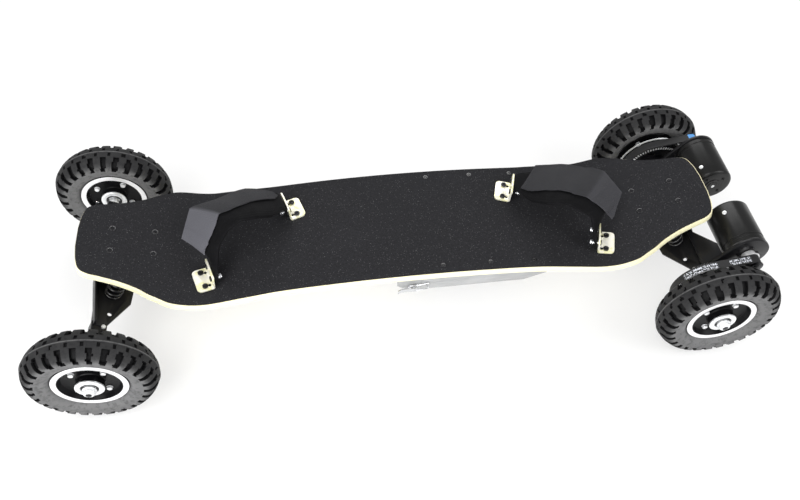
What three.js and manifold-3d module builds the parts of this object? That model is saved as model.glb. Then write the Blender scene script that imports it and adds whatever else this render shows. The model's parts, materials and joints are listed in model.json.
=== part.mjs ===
// An electric mountainboard in millimetres. x runs along the board with the motors at +x,
// y runs across it, and z points up from the ground under the middle of the wheelbase.
import * as THREE from 'three';
import { mergeVertices } from 'three/addons/utils/BufferGeometryUtils.js';
import Module from 'manifold-3d';

const wasm = await Module();
wasm.setup();

// Whole board
const wheelbase = 994;
const track = 374;
const seatGap = 0.3;
const cutOverrun = 3;

// Tyres and rims
const tyreDiameter = 200;
const tyreWidth = 56;
const treadDepth = 5;
const rimSeatRadius = 46.2;
const rimFlangeRadius = 56;
const rimWidth = 40;
const rimFlangeThickness = 2.6;
const rimDishRadius = 46.5;
const rimDishFootRadius = 42;
const rimWebThickness = 22;
const hubLength = 44;
const bearingRadius = 15;
const bearingWidth = 9;
const bearingRunGap = 0.9;
const hubCapRadius = 21.5;
const hubCapThickness = 3.6;
const knobPitchCount = 20;
// Tyre wall from the flange to the tread: radius, half width and groove depth, and which knobs step aside
const tyreWallShares = [[0.72, 1, 0, 0], [0.91, 0.97, 0.7, 0], [1, 0.52, 1, 1]];

// Axles
const axleRadius = 5;
const outerSpacerLength = 5;
const innerSpacerLength = 15;
const axleNutRadius = 10.4;
const axleNutThickness = 8;
const axleEndProud = 1;
const spacerRadius = 7.8;

// Deck
const deckLength = 1022;
const deckWidth = 232;
const deckThickness = 12;
const deckTopHeight = 167.2;
const camberDrop = 17.5;
const tipBendLength = 50;
const bendToBasePlate = 37.5;
const tipAngle = THREE.MathUtils.degToRad(16.4);
const gripThickness = 1;
const gripInset = 0.7;

// Half width of the deck, from the middle to the tip: share of half the length, share of half the width
const deckOutlineShares = [
  [0, 0.947], [0.22, 0.947], [0.413, 0.949], [0.474, 0.962], [0.592, 0.986], [0.691, 1], [0.732, 0.976],
  [0.76, 0.921], [0.79, 0.86], [0.817, 0.789], [0.873, 0.688], [0.93, 0.623], [0.96, 0.592], [0.982, 0.53],
  [0.994, 0.38], [1, 0.16],
];

// Trucks, in a frame whose first axis runs along the kingpin and whose third is square to it, through
// the axle
const leanAxisAngle = THREE.MathUtils.degToRad(30);
const kingpinRise = 28;
const kingpinRadius = 5;
const kingpinHeadRadius = 8.5;
const kingpinHeadHeight = 6;
const kingpinTailShare = 1.3;
const bushingRadius = 8;
const bushingFlangeThickness = 2;
const bushingGap = 2.4;
const sleeveRadius = 12;
const sleeveStart = -32;
const sleeveEnd = 18;
const earThickness = 6;
const earTipRadius = 11;
const earBaseHalfWidth = 24;
const truckCentre = 431.5;
const truckBoltSpacingX = 64.6;
const truckBoltSpacingY = 44.4;
const truckBoltRadius = 3;
const truckBoltHeadRadius = 5;
const truckBoltHeadHeight = 2.2;
const truckNutHeight = 5;
const basePlateLength = 88;
const basePlateWidth = 66;
const basePlateThickness = 5;
const bracketWebThickness = 5;
const bracketWebHalfSpacing = 10.5;
const springPlateHeight = 62;
const springPlateThickness = 4;
const springPlateWidth = 122;
const springPlateLength = 38;
const springX = -14;
const springY = 44;
const springCoilRadius = 12;
const springWireRadius = 2.2;
const springTurns = 4.5;
const deadTurnRise = 3.6;
const springPegRadius = 7.5;
const springPegHeight = 6;

// Hangers
const axleTubeRadius = 11;
const hangerPlateTop = 13;
const hangerPlateThickness = 4;
const hangerInnerEdge = -47;
const hangerCornerShare = 0.94;
const hangerOuterEdge = 18;
const hangerWideHalf = 58;
const hangerNarrowHalf = 108;
const hangerNarrowInner = -10;
const hangerNarrowOuter = 10;
const hangerShoulderShare = 0.5;
const hangerWallHeight = 12;
const hangerWallThickness = 3.5;
const sleeveWebHalfWidth = 7;
const endBlockSize = 24;
const endBlockStart = 99;
const hangerHoleRadius = 3.5;
const hangerHoleX = -13;
const hangerHoleY = 84;

// Belt drive
const beltPitch = 5;
const wheelPulleyTeeth = 72;
const motorPulleyTeeth = 15;
const beltCentreDistance = 80.6;
const motorDirection = THREE.MathUtils.degToRad(44);
const pitchLineOffset = 0.57;
const toothDepth = 2.1;
const beltBackThickness = 1.7;
const beltWidth = 15;
const beltToTyre = 12;
const beltToMount = 11;
const pulleyRimThickness = 8;
const pulleyWebThickness = 5;
const pulleyHubRadius = 27;
const pulleyBoreGap = 1.2;
const pulleyFlangeRadius = 14.6;
const pulleyFlangeThickness = 1.6;
const pulleySideGap = 0.8;
const pulleyHoleRadius = 6;
const pulleyHoleCount = 5;
// Along one pitch and out from the root: a pulley tooth, and a belt tooth
const pulleyToothShares = [[0, 0], [0.5, 1]];
const beltToothShares = [[0.2, 0], [0.5, 1], [0.8, 0]];

// Motors and their mounts
const motorRadius = 34.3;
const motorInnerEnd = 31;
const motorEdgeRound = 5;
const motorEdgeShare = 0.3;
const motorBossRadius = 14;
const motorBossHeight = 2;
const motorBandDepth = 0.9;
const motorBandWidth = 5;
const motorShaftRadius = 4;
const shaftSocketDepth = 8;
const glandRadius = 5;
const glandLength = 8;
const mountThickness = 6;
const mountAxleRadius = 22;
const mountMotorRadius = 37;
const mountShaftHoleRadius = 9;
const mountSlotShare = 0.42;
const mountSlotRadius = 5;
const shelfStart = 7.5;
const shelfEnd = 34;
const shelfHeight = 26;
const shelfThickness = 4;
const shelfInnerEdge = 62;
const shelfRakedEdge = 74;

// Battery case under the deck
const caseFront = 22;
const caseRear = 235;
const caseRearFoot = 202;
const caseDepth = 65;
const caseHalfWidth = 85;
const caseFootHalfWidth = 76;
const caseChamferDepth = 28;
const caseWall = 2.5;
const caseFlangeHalfWidth = 104;
const caseFlangeThickness = 3;
const caseFlangeRear = 222;
const capLength = 40;
const capLipReach = 10;
const packLength = 112;
const packClearance = 4;
const finCount = 9;
const controllerLength = 50;
const controllerHeight = 30;
const caseTopDrop = 0.6;
const camberShoeGap = 0.6;

// Power button and charge port, on the far wall of the case
const buttonX = 176;
const buttonDrop = 18;
const buttonRadius = 6;
const buttonProud = 2.6;
const buttonTravel = 1.5;
const bezelRadius = 10;
const bezelProud = 2;
const bezelWall = 2.5;
const buttonStemRadius = 3.5;
const portX = 148;
const portRadius = 8;
const portSocketRadius = 4.5;
const portSocketDepth = 5;
const portProud = 2.2;
const portPinRadius = 2.5;

// Draw latch on the near wall of the case
const latchHeight = 103;
const latchBaseLength = 22;
const latchBaseHeight = 11;
const latchPlateThickness = 1.5;
const latchPivotX = 11;
const latchPivotOut = 5;
const latchPivotBack = 5;
const latchPinRadius = 1.2;
const latchEarThickness = 1.2;
const latchEarHalfHeight = 2.6;
const latchLeverLength = 23;
const latchLeverThickness = 1.6;
const latchLeverHeight = 8;
const latchLipAngle = THREE.MathUtils.degToRad(28);
const latchLipLength = 6;
const loopPivotBack = 7;
const loopHalfHeight = 7.5;
const loopWireRadius = 1.1;
const catchX = 31;
const catchThickness = 2;
const catchReach = 5.2;
const catchHeight = 9;
const loopBehindCatch = 0.6;

// Bindings: brackets, straps and their fasteners
const bindingMiddle = 253;
const bindingOffset = 3.2;
const bindingSideStep = -9.5;
const bindingSpanX = 149.5;
const bindingSpanY = 123;
const bracketYaw = THREE.MathUtils.degToRad(17);
const bracketFootWidth = 27;
const bracketLength = 43;
const bracketThickness = 2.6;
const bracketLegHeight = 30;
const bracketCorner = 7;
const bracketScrewSpacing = 27;
const bracketScrewHeadRadius = 4.6;
const bracketScrewHeadHeight = 2.6;
const keyholeRadius = 2.2;
const keyholeStep = 7;
const keyholeSpacingShare = 0.85;
const strapBoltSpacing = 25;
const strapBoltHeight = 17;
const strapBoltRadius = 2.6;
const strapBoltHeadRadius = 4.4;
const strapBoltHeadHeight = 2.4;
const strapNutRadius = 4.6;
const strapNutHeight = 4;
const archHeight = 100;
const padThickness = 8;
const tabThickness = 6;
const tabHalfWidth = 19;
const bandThickness = 2.4;
const bandGap = 1.9;
const padCrown = 3;
const tabLean = 2.6;

const halfBase = wheelbase / 2;
const halfTrack = track / 2;
const axleHeight = tyreDiameter / 2;
const halfLength = deckLength / 2;
const halfWidth = deckWidth / 2;
const quarterTurn = Math.PI / 2;
const camberReach = truckCentre - basePlateLength / 2 - bendToBasePlate - tipBendLength;
const axleOverallWidth = track + hubLength + 2 * (outerSpacerLength + axleNutThickness + axleEndProud);
const endBlockEnd = halfTrack - hubLength / 2 - innerSpacerLength;
const beltInner = halfTrack - tyreWidth / 2 - beltToTyre - beltWidth;
const motorOuterEnd = beltInner - beltToMount - mountThickness;

// Geometry helpers

// Welds a geometry to bare positions, as booleans need it
function welded(geometry) {
  const bare = new THREE.BufferGeometry();
  bare.setAttribute('position', geometry.getAttribute('position').clone());
  if (geometry.index) bare.setIndex(geometry.index.clone());
  return mergeVertices(bare, 1e-4);
}

// Turns a closed geometry the right way round if its faces point in
function facesOut(geometry) {
  const shell = welded(geometry);
  const place = shell.getAttribute('position');
  const index = Array.from(shell.index.array);
  const [a, b, c] = [new THREE.Vector3(), new THREE.Vector3(), new THREE.Vector3()];
  let volume = 0;
  for (let i = 0; i < index.length; i += 3) {
    a.fromBufferAttribute(place, index[i]);
    b.fromBufferAttribute(place, index[i + 1]);
    c.fromBufferAttribute(place, index[i + 2]);
    volume += a.dot(b.cross(c));
  }
  if (volume < 0) {
    for (let i = 0; i < index.length; i += 3) {
      [index[i], index[i + 1]] = [index[i + 1], index[i]];
    }
    shell.setIndex(index);
  }
  return shell;
}

function toSolid(geometry) {
  const shell = facesOut(geometry);
  return new wasm.Manifold(new wasm.Mesh({
    numProp: 3,
    vertProperties: new Float32Array(shell.getAttribute('position').array),
    triVerts: new Uint32Array(shell.index.array),
  }));
}

function fromSolid(body) {
  const mesh = body.getMesh();
  const geometry = new THREE.BufferGeometry();
  geometry.setAttribute('position', new THREE.BufferAttribute(new Float32Array(mesh.vertProperties), 3));
  geometry.setIndex(Array.from(mesh.triVerts));
  return geometry;
}

const join = (...pieces) => fromSolid(pieces.map(toSolid).reduce((whole, piece) => whole.add(piece)));
const cut = (whole, ...tools) => fromSolid(tools.map(toSolid).reduce((left, tool) => left.subtract(tool),
  toSolid(whole)));
const moved = (geometry, x, y, z) => geometry.clone().translate(x, y, z);

function mirroredY(geometry) {
  return facesOut(geometry.clone().scale(1, -1, 1));
}

function block(x0, x1, y0, y1, z0, z1) {
  return moved(new THREE.BoxGeometry(x1 - x0, y1 - y0, z1 - z0), (x0 + x1) / 2, (y0 + y1) / 2,
    (z0 + z1) / 2);
}

// A round bar between two points
function rod(from, to, radius, sides = 12) {
  const along = new THREE.Vector3().subVectors(to, from);
  const bar = new THREE.CylinderGeometry(radius, radius, along.length(), sides);
  bar.applyQuaternion(new THREE.Quaternion().setFromUnitVectors(new THREE.Vector3(0, 1, 0),
    along.clone().normalize()));
  return bar.translate((from.x + to.x) / 2, (from.y + to.y) / 2, (from.z + to.z) / 2);
}

const at = (x, y, z) => new THREE.Vector3(x, y, z);

// A revolved piece about the y axis, from a list of radius and y
function turned(profile, sides) {
  return new THREE.LatheGeometry(profile.map(([r, y]) => new THREE.Vector2(r, y)), sides);
}

// A closed ring section: the profile comes back to its first point
function turnedRing(profile, sides) {
  return turned([...profile, profile[0]], sides);
}

function washer(outer, inner, y0, y1, sides) {
  return turnedRing([[inner, y0], [outer, y0], [outer, y1], [inner, y1]], sides);
}

// A flat plate in x and y, from z0 to z1, with holes that are lists of points too
function slab(points, z0, z1, holes = []) {
  const shape = new THREE.Shape(points.map(([x, y]) => new THREE.Vector2(x, y)));
  for (const hole of holes) shape.holes.push(new THREE.Path(hole.map(([x, y]) => new THREE.Vector2(x, y))));
  return new THREE.ExtrudeGeometry(shape, { depth: z1 - z0, bevelEnabled: false }).translate(0, 0, z0);
}

// A plate drawn in x and z, as thick as y0 to y1
function wallSlab(points, y0, y1, holes = []) {
  return slab(points, -y1, -y0, holes).rotateX(quarterTurn);
}

// A plate drawn in y and z, from x0 to x1
function crossSlab(points, x0, x1, holes = []) {
  return slab(points, x0, x1, holes).rotateX(quarterTurn).rotateZ(quarterTurn);
}

// Points of an arc about a centre
function arc(cx, cy, radius, start, end, steps) {
  return Array.from({ length: steps + 1 }, (_, i) => {
    const turn = start + (end - start) * i / steps;
    return [cx + radius * Math.cos(turn), cy + radius * Math.sin(turn)];
  });
}

const ringPoints = (cx, cy, radius, sides) => arc(cx, cy, radius, 0, 2 * Math.PI, sides).slice(0, sides);

function roundedRectangle(x0, x1, y0, y1, radius, steps = 2) {
  return [
    ...arc(x1 - radius, y1 - radius, radius, 0, quarterTurn, steps),
    ...arc(x0 + radius, y1 - radius, radius, quarterTurn, 2 * quarterTurn, steps),
    ...arc(x0 + radius, y0 + radius, radius, 2 * quarterTurn, 3 * quarterTurn, steps),
    ...arc(x1 - radius, y0 + radius, radius, 3 * quarterTurn, 4 * quarterTurn, steps),
  ];
}

// A skin through rings of points, each as long as the next, closed by a flat cap at both ends
function loft(rings) {
  const around = rings[0].length;
  const points = rings.flat();
  const index = [];
  for (let i = 0; i + 1 < rings.length; i += 1) {
    for (let j = 0; j < around; j += 1) {
      const k = (j + 1) % around;
      const [a, b, c, d] = [i * around + j, i * around + k, (i + 1) * around + k, (i + 1) * around + j];
      index.push(a, b, c, a, c, d);
    }
  }
  const last = (rings.length - 1) * around;
  for (let j = 1; j + 1 < around; j += 1) {
    index.push(0, j + 1, j);
    index.push(last, last + j, last + j + 1);
  }
  const geometry = new THREE.BufferGeometry();
  geometry.setAttribute('position', new THREE.Float32BufferAttribute(points.flatMap((p) => [p.x, p.y,
    p.z]), 3));
  geometry.setIndex(index);
  return facesOut(geometry);
}

function interpolate(table, x) {
  const next = Math.max(1, table.findIndex(([place]) => place >= x));
  const [[x0, y0], [x1, y1]] = [table[next - 1], table[next]];
  return y0 + (y1 - y0) * (x - x0) / (x1 - x0);
}

// Materials
const finish = (color, roughness, metalness) => new THREE.MeshStandardMaterial({ color, roughness,
  metalness });
const plyEdge = finish('#e8dcae', 0.6, 0);
const grip = finish('#232326', 0.95, 0);
const blackPaint = finish('#141416', 0.4, 0.2);
const blackPlastic = finish('#17171a', 0.5, 0);
const tyreRubber = finish('#1c1c1e', 0.85, 0);
const brightMetal = finish('#c9ccd0', 0.25, 1);
const darkSteel = finish('#2c2c2f', 0.4, 0.9);
const yellowZinc = finish('#d9d3a0', 0.35, 0.9);
const weave = finish('#3a3b3f', 0.9, 0);
const padding = finish('#131315', 0.9, 0);
const caseSkin = finish('#d6d8da', 0.35, 0.6);
const beltRubber = finish('#18181a', 0.8, 0);
const packWrap = finish('#2b5fa8', 0.5, 0);

const board = new THREE.Group();

function piece(parent, name, geometry, material) {
  const mesh = new THREE.Mesh(facesOut(geometry), material);
  mesh.name = name;
  parent.add(mesh);
  return mesh;
}

// Deck surface

const bendStartSlope = -2 * camberDrop / camberReach;
const tipSlope = Math.tan(tipAngle);
const bendStartHeight = deckTopHeight - camberDrop;
const bendCurve = (tipSlope - bendStartSlope) / (2 * tipBendLength);
const tipStart = camberReach + tipBendLength;
const tipStartHeight = bendStartHeight + bendStartSlope * tipBendLength + bendCurve * tipBendLength ** 2;

function deckSlope(x) {
  const reach = Math.abs(x);
  if (reach <= camberReach) return bendStartSlope * reach / camberReach;
  if (reach <= tipStart) return bendStartSlope + 2 * bendCurve * (reach - camberReach);
  return tipSlope;
}

function deckTop(x) {
  const reach = Math.abs(x);
  const past = reach - camberReach;
  if (past <= 0) return deckTopHeight - camberDrop * (reach / camberReach) ** 2;
  if (reach <= tipStart) return bendStartHeight + bendStartSlope * past + bendCurve * past ** 2;
  return tipStartHeight + tipSlope * (reach - tipStart);
}

const deckStretch = (x) => Math.hypot(1, deckSlope(x));
const deckUnder = (x) => deckTop(x) - deckThickness * deckStretch(x);
const gripTop = (x) => deckTop(x) + (seatGap + gripThickness) * deckStretch(x);

// The side view needs stations of its own where the deck bends
const stationSpacingShare = 0.006;
const bendStations = [0, 0.5, 1].map((share) => (camberReach + share * tipBendLength) / halfLength);
const outlineStations = [...deckOutlineShares.map(([share]) => share), ...bendStations]
  .sort((a, b) => a - b).filter((share, i, all) => i === 0
    || share - all[i - 1] > stationSpacingShare);
const deckStations = [...outlineStations.slice(1).reverse().map((share) => -share), ...outlineStations];

// A sheet that follows the deck, between two heights above its top face, drawn in from its outline
function deckSheet(inset, low, high) {
  const scaleX = (halfLength - inset) / halfLength;
  return loft(deckStations.map((share) => {
    const x = share * halfLength * scaleX;
    const half = interpolate(deckOutlineShares, Math.abs(share)) * halfWidth - inset;
    const [foot, top] = [low, high].map((height) => deckTop(x) + height * deckStretch(x));
    return [at(x, -half, foot), at(x, half, foot), at(x, half, top), at(x, -half, top)];
  }));
}

const upright = (x, y, z0, z1, radius, sides = 10) => rod(at(x, y, z0), at(x, y, z1), radius, sides);
const crosswise = (x0, x1, y, z, radius, sides = 10) => rod(at(x0, y, z), at(x1, y, z), radius, sides);

// A rod square to the deck at a place, between two depths measured from its top face
function squareToDeck(x, y, low, high, radius, sides) {
  const lean = Math.atan(deckSlope(x)) * Math.sign(x);
  return upright(0, 0, low, high, radius, sides).rotateY(-lean).translate(x, y, deckTop(x));
}

const truckBoltPlaces = [-1, 1].flatMap((end) => [-1, 1].flatMap((along) => [-1, 1].map((side) => [
  end * (truckCentre + along * truckBoltSpacingX / 2 * Math.cos(tipAngle)),
    side * truckBoltSpacingY / 2])));

const legOutside = bracketFootWidth / 2 - bracketThickness;
const legInside = bracketFootWidth / 2;

// Where the two brackets of a binding stand, and which way their legs face
const bindings = [-1, 1].map((end) => [1, -1].map((outer) => ({
  end,
  x: end * (bindingMiddle + outer * bindingSpanX / 2) + bindingOffset,
  y: bindingSideStep - outer * bindingSpanY / 2,
  inward: -outer * end,
})));

// A bracket's own frame: towards the foot, along the fold, and square to the deck
function bracketFrame(stand) {
  const toFoot = at(stand.inward * Math.cos(bracketYaw),
    -stand.inward * stand.end * Math.sin(bracketYaw), 0);
  const lean = Math.atan(Math.sign(stand.x) * deckSlope(stand.x));
  const up = at(-Math.sin(lean), 0, Math.cos(lean));
  toFoot.addScaledVector(up, -toFoot.dot(up)).normalize();
  const along = new THREE.Vector3().crossVectors(up, toFoot);
  if (along.y < 0) along.negate();
  // The foot stands on its highest corner where the deck bends up under it
  const origin = at(stand.x, stand.y, gripTop(stand.x));
  const corners = [-1, 1].flatMap((u) => [-1, 1].map((v) => origin.clone()
    .addScaledVector(toFoot, u * legInside).addScaledVector(along, v * bracketLength / 2)));
  const rise = Math.max(0, ...corners.map((corner) => (gripTop(corner.x) - corner.z)));
  origin.addScaledVector(up, rise + seatGap * 2);
  return { toFoot, along, up, origin };
}

function placed(geometry, stand) {
  const { toFoot, along, up, origin } = bracketFrame(stand);
  const frame = new THREE.Matrix4().makeBasis(toFoot, along, up).setPosition(origin);
  return facesOut(geometry.clone().applyMatrix4(frame));
}

const screwPlaces = [-1, 1].map((side) => side * bracketScrewSpacing / 2);
const strapBoltPlaces = [-1, 1].map((side) => side * strapBoltSpacing / 2);

// Deck and grip tape

const screwReach = deckThickness + gripThickness + cutOverrun * 2;
function deckHoles(radiusGap, headRoom) {
  return truckBoltPlaces.map(([x, y]) => squareToDeck(x, y, -screwReach, screwReach,
    (headRoom ? truckBoltHeadRadius : truckBoltRadius) + radiusGap, 6));
}

piece(board, 'deck_board', cut(deckSheet(0, -deckThickness, 0), ...deckHoles(seatGap, false)),
  plyEdge);
piece(board, 'grip_tape', cut(deckSheet(gripInset, seatGap, seatGap + gripThickness),
  ...deckHoles(seatGap, true)), grip);

// Binding brackets: a foot on the deck and a leg on the strap's side, folded from one plate
function strapBracket(stand) {
  const foot = slab(roundedRectangle(-legInside, legInside + bracketCorner, -bracketLength / 2,
    bracketLength / 2,
    bracketCorner), 0, bracketThickness);
  const spare = block(legInside, legInside + bracketCorner + cutOverrun, -bracketLength, bracketLength,
    -cutOverrun, bracketThickness + cutOverrun);
  const leg = slab(roundedRectangle(-bracketLegHeight, bracketCorner, -bracketLength / 2, bracketLength / 2,
    bracketCorner), legOutside, legInside).rotateY(quarterTurn);
  const legFoot = block(0, bracketFootWidth, -bracketLength, bracketLength, -bracketCorner - cutOverrun, 0);
  const keyholes = screwPlaces.map((v) => upright(keyholeStep, v * keyholeSpacingShare, -cutOverrun,
    bracketThickness + cutOverrun, keyholeRadius, 6));
  const folded = join(cut(foot, spare), cut(leg, legFoot));
  const deckScrews = screwPlaces.map((v) => upright(0, v, bracketThickness / 2,
    bracketThickness + bracketScrewHeadHeight, bracketScrewHeadRadius, 6));
  const nutFace = legInside + seatGap + tabThickness + tabLean + seatGap;
  const strapBolts = strapBoltPlaces.flatMap((v) => [
    crosswise(legOutside - strapBoltHeadHeight, legInside - bracketThickness / 2, v, strapBoltHeight,
      strapBoltHeadRadius, 6),
    crosswise(legOutside, nutFace + strapNutHeight, v, strapBoltHeight, strapBoltRadius, 6),
    crosswise(nutFace, nutFace + strapNutHeight, v, strapBoltHeight, strapNutRadius, 6)]);
  return placed(join(cut(folded, ...keyholes), ...deckScrews, ...strapBolts), stand);
}

bindings.forEach((pair, i) => pair.forEach((stand, j) => {
  piece(board, `strap_bracket_${['nose', 'tail'][i]}_${['near', 'far'][j]}`, strapBracket(stand),
    yellowZinc);
}));

// Foot straps

// The arch over the foot, as shares of the span along x, the span along y and the arch height, from
// the middle of the binding: first the edge by the ankle, then the edge by the toes, from the near
// bracket to the far one. The nose strap stands higher than the tail one.
const archShares = [
  [
    [[0.288, -0.341, 0.582], [0.619, 0.09, 0.445]],
    [[0.162, -0.28, 0.861], [0.55, 0.296, 0.605]],
    [[0.016, -0.221, 0.989], [0.286, 0.374, 0.671]],
    [[-0.147, -0.146, 0.886], [-0.003, 0.483, 0.626]],
    [[-0.293, 0.019, 0.617], [-0.218, 0.525, 0.487]],
  ], [
    [[0.28, -0.416, 0.608], [0.599, -0.096, 0.417]],
    [[0.104, -0.406, 0.818], [0.596, 0.141, 0.588]],
    [[-0.034, -0.335, 0.868], [0.411, 0.326, 0.708]],
    [[-0.211, -0.261, 0.773], [0.093, 0.431, 0.647]],
    [[-0.339, -0.044, 0.537], [-0.16, 0.53, 0.49]],
  ],
];
// The woven band: where it lies across the pad from the ankle, where it starts and ends along the
// arch, and the slanting cut at its far end
const bandEdgeShare = 0.24;
const bandToeShare = 1.05;
const bandStartShare = 0.18;
const bandEndShare = 0.83;
const bandCutStartShare = 0.7;
const bandTipShare = 0.35;

function archPoint(end, [alongSpan, acrossSpan, rise]) {
  const x = end * (bindingMiddle + alongSpan * bindingSpanX) + bindingOffset;
  return at(x, bindingSideStep + acrossSpan * bindingSpanY, gripTop(x) + rise * archHeight);
}

// Both edges of a strap's outer face as smooth curves, from tab to tab
function strapEdges(i) {
  const [near, far] = bindings[i];
  const { end } = near;
  const tab = (stand, side, height, lean) => {
    const { toFoot, along, up, origin } = bracketFrame(stand);
    return origin.clone().addScaledVector(toFoot, legInside + seatGap + lean)
      .addScaledVector(along, side * tabHalfWidth).addScaledVector(up, height);
  };
  const [foot, head] = [strapBoltHeight - strapNutRadius * 2, bracketLegHeight + seatGap];
  return [-1, 1].map((side, edge) => new THREE.CatmullRomCurve3([
    tab(near, side, foot, 0), tab(near, side, head, tabLean),
    ...archShares[i].map((edges) => archPoint(end, edges[edge])),
    tab(far, side, head, tabLean), tab(far, side, foot, 0),
  ], false, 'centripetal'));
}

const strapSteps = 16;
const acrossShares = [0, 1 / 3, 2 / 3, 1];
const strapRows = Array.from({ length: strapSteps + 1 }, (_, s) => s / strapSteps);

// A strap between two depths below its outer face; each row has a place along the arch and two across it
function strapLoft(end, edges, rows, depth, tabDepth, middleDepth) {
  return loft(rows.map(([run, low, high]) => {
    const [ankle, toe] = edges.map((edge) => edge.getPoint(run));
    const across = toe.clone().sub(ankle);
    const along = edges[0].getTangent(run).add(edges[1].getTangent(run));
    const inward = new THREE.Vector3().crossVectors(along, across).normalize().multiplyScalar(end);
    const swell = Math.sin(Math.PI * run) ** 2;
    const thick = tabDepth + (middleDepth - tabDepth) * swell;
    const point = (q, deep) => {
      const place = low + (high - low) * q;
      return ankle.clone().addScaledVector(across, place)
        .addScaledVector(inward, deep - 4 * place * (1 - place) * padCrown * swell);
    };
    return [...acrossShares.map((q) => point(q, depth)),
      ...[...acrossShares].reverse().map((q) => point(q, depth + thick))];
  }));
}

const strapHoles = (pair) => pair.flatMap((stand) => strapBoltPlaces.map((v) => placed(
  crosswise(legOutside, legInside + tabThickness * 3, v, strapBoltHeight, strapBoltRadius + seatGap,
    6), stand)));

bindings.forEach((pair, i) => {
  const edges = strapEdges(i);
  const [{ end }] = pair;
  const name = ['nose', 'tail'][i];
  const pad = strapLoft(end, edges, strapRows.map((run) => [run, 0, 1]), 0, tabThickness, padThickness);
  piece(board, `strap_pad_${name}`, cut(pad, ...strapHoles(pair)), padding);
  const bandRows = strapRows.filter((run) => run > bandStartShare && run < bandEndShare).map((run) => {
    const past = Math.max(0, (run - bandCutStartShare) / (bandEndShare - bandCutStartShare));
    const width = (bandToeShare - bandEdgeShare) * (1 - past * (1 - bandTipShare));
    return [run, bandEdgeShare, bandEdgeShare + width];
  });
  const band = strapLoft(end, edges, bandRows, -bandGap - bandThickness, bandThickness, bandThickness);
  piece(board, `strap_band_${name}`, band, weave);
});

// Battery case: a trough with sloping lower walls and a sloping rear end, open at the front for the end cap

const caseTop = deckUnder(caseRear) - caseTopDrop;
const caseFoot = caseTop - caseDepth;
const caseChamferTop = caseFoot + caseChamferDepth;

// The outline across the case, drawn in by a wall
function caseSection(x, wall, top) {
  return [
    at(x, -caseHalfWidth + wall, top), at(x, -caseHalfWidth + wall, caseChamferTop),
    at(x, -caseFootHalfWidth + wall, caseFoot + wall), at(x, caseFootHalfWidth - wall, caseFoot + wall),
    at(x, caseHalfWidth - wall, caseChamferTop), at(x, caseHalfWidth - wall, top),
  ];
}

// The rear end slopes: the section slides forward as it goes down
function caseBody(front, rear, rearFoot, wall, top) {
  const rearSection = caseSection(rear, wall, top).map((p) => {
    const depthShare = Math.max(0, caseChamferTop - p.z) / caseChamferDepth;
    return at(p.x - (rear - rearFoot) * depthShare, p.y, p.z);
  });
  return loft([caseSection(front, wall, top), rearSection]);
}

const flangeTop = caseTop;
const flange = slab([[caseFront, -caseFlangeHalfWidth], [caseFlangeRear, -caseFlangeHalfWidth],
  [caseRear, -caseHalfWidth], [caseRear, caseHalfWidth], [caseFlangeRear, caseFlangeHalfWidth],
  [caseFront, caseFlangeHalfWidth]], flangeTop - caseFlangeThickness, flangeTop);
const caseHollow = caseBody(caseFront - cutOverrun, caseRear - caseWall, caseRearFoot - caseWall, caseWall,
  flangeTop - caseFlangeThickness);
// A camber shoe fills the space between the flat flange and the arched deck, on each side
const shoeSteps = 4;
const shoe = (y0, y1) => wallSlab([
  [caseFlangeRear, flangeTop - caseFlangeThickness / 2], [caseFront, flangeTop - caseFlangeThickness / 2],
  ...Array.from({ length: shoeSteps + 1 }, (_, i) => {
    const x = caseFront + (caseFlangeRear - caseFront) * i / shoeSteps;
    return [x, deckUnder(x) - camberShoeGap];
  }),
], y0, y1);
const shoeHalfWidth = caseFlangeHalfWidth - caseHalfWidth + caseWall;
const wallHole = (x, radius) => rod(at(x, caseHalfWidth - caseWall - cutOverrun, caseTop - buttonDrop),
  at(x, caseHalfWidth + cutOverrun, caseTop - buttonDrop), radius, 12);
const caseCatch = (side) => block(catchX - catchThickness / 2, catchX + catchThickness / 2,
  Math.min(side * (caseHalfWidth - caseWall / 2), side * (caseHalfWidth + catchReach)),
  Math.max(side * (caseHalfWidth - caseWall / 2), side * (caseHalfWidth + catchReach)),
  latchHeight - catchHeight / 2, latchHeight + catchHeight / 2);
const caseShell = join(caseBody(caseFront, caseRear, caseRearFoot, 0, flangeTop), flange,
  shoe(-caseFlangeHalfWidth, -caseFlangeHalfWidth + shoeHalfWidth),
  shoe(caseFlangeHalfWidth - shoeHalfWidth, caseFlangeHalfWidth), caseCatch(-1));
piece(board, 'battery_case', cut(caseShell, caseHollow, wallHole(buttonX, bezelRadius - bezelWall),
  wallHole(portX, portRadius + seatGap)), caseSkin);

// End cap: a shallow tray that closes the front of the case, with a lip inside its walls
const capRear = caseFront - seatGap;
const capFront = capRear - capLength;
const lipTop = flangeTop - caseFlangeThickness - seatGap;
const lipBlank = join(loft([caseSection(capRear - caseWall, caseWall + seatGap, lipTop),
  caseSection(capRear + capLipReach, caseWall + seatGap, lipTop)]),
loft([caseSection(capRear - caseWall * 2, caseWall / 2, lipTop + caseFlangeThickness / 2),
  caseSection(capRear - seatGap, caseWall / 2, lipTop + caseFlangeThickness / 2)]));
const capLip = cut(lipBlank, loft([caseSection(capFront, caseWall * 2, lipTop - caseWall),
  caseSection(capRear + capLipReach + cutOverrun, caseWall * 2, lipTop - caseWall)]));
const capSlope = (section, reach) => section.map((p) => {
  const depthShare = Math.max(0, caseChamferTop - p.z) / caseChamferDepth;
  return at(p.x + reach * depthShare, p.y, p.z);
});
const capShell = loft([capSlope(caseSection(capFront, 0, flangeTop), capLength / 2),
  caseSection(capRear, 0, flangeTop)]);
const capHollow = loft([capSlope(caseSection(capFront + caseWall, caseWall,
  flangeTop - caseFlangeThickness),
  capLength / 2), caseSection(capRear + cutOverrun, caseWall, flangeTop - caseFlangeThickness)]);
piece(board, 'case_end_cap', join(cut(capShell, capHollow), capLip), caseSkin);

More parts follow.
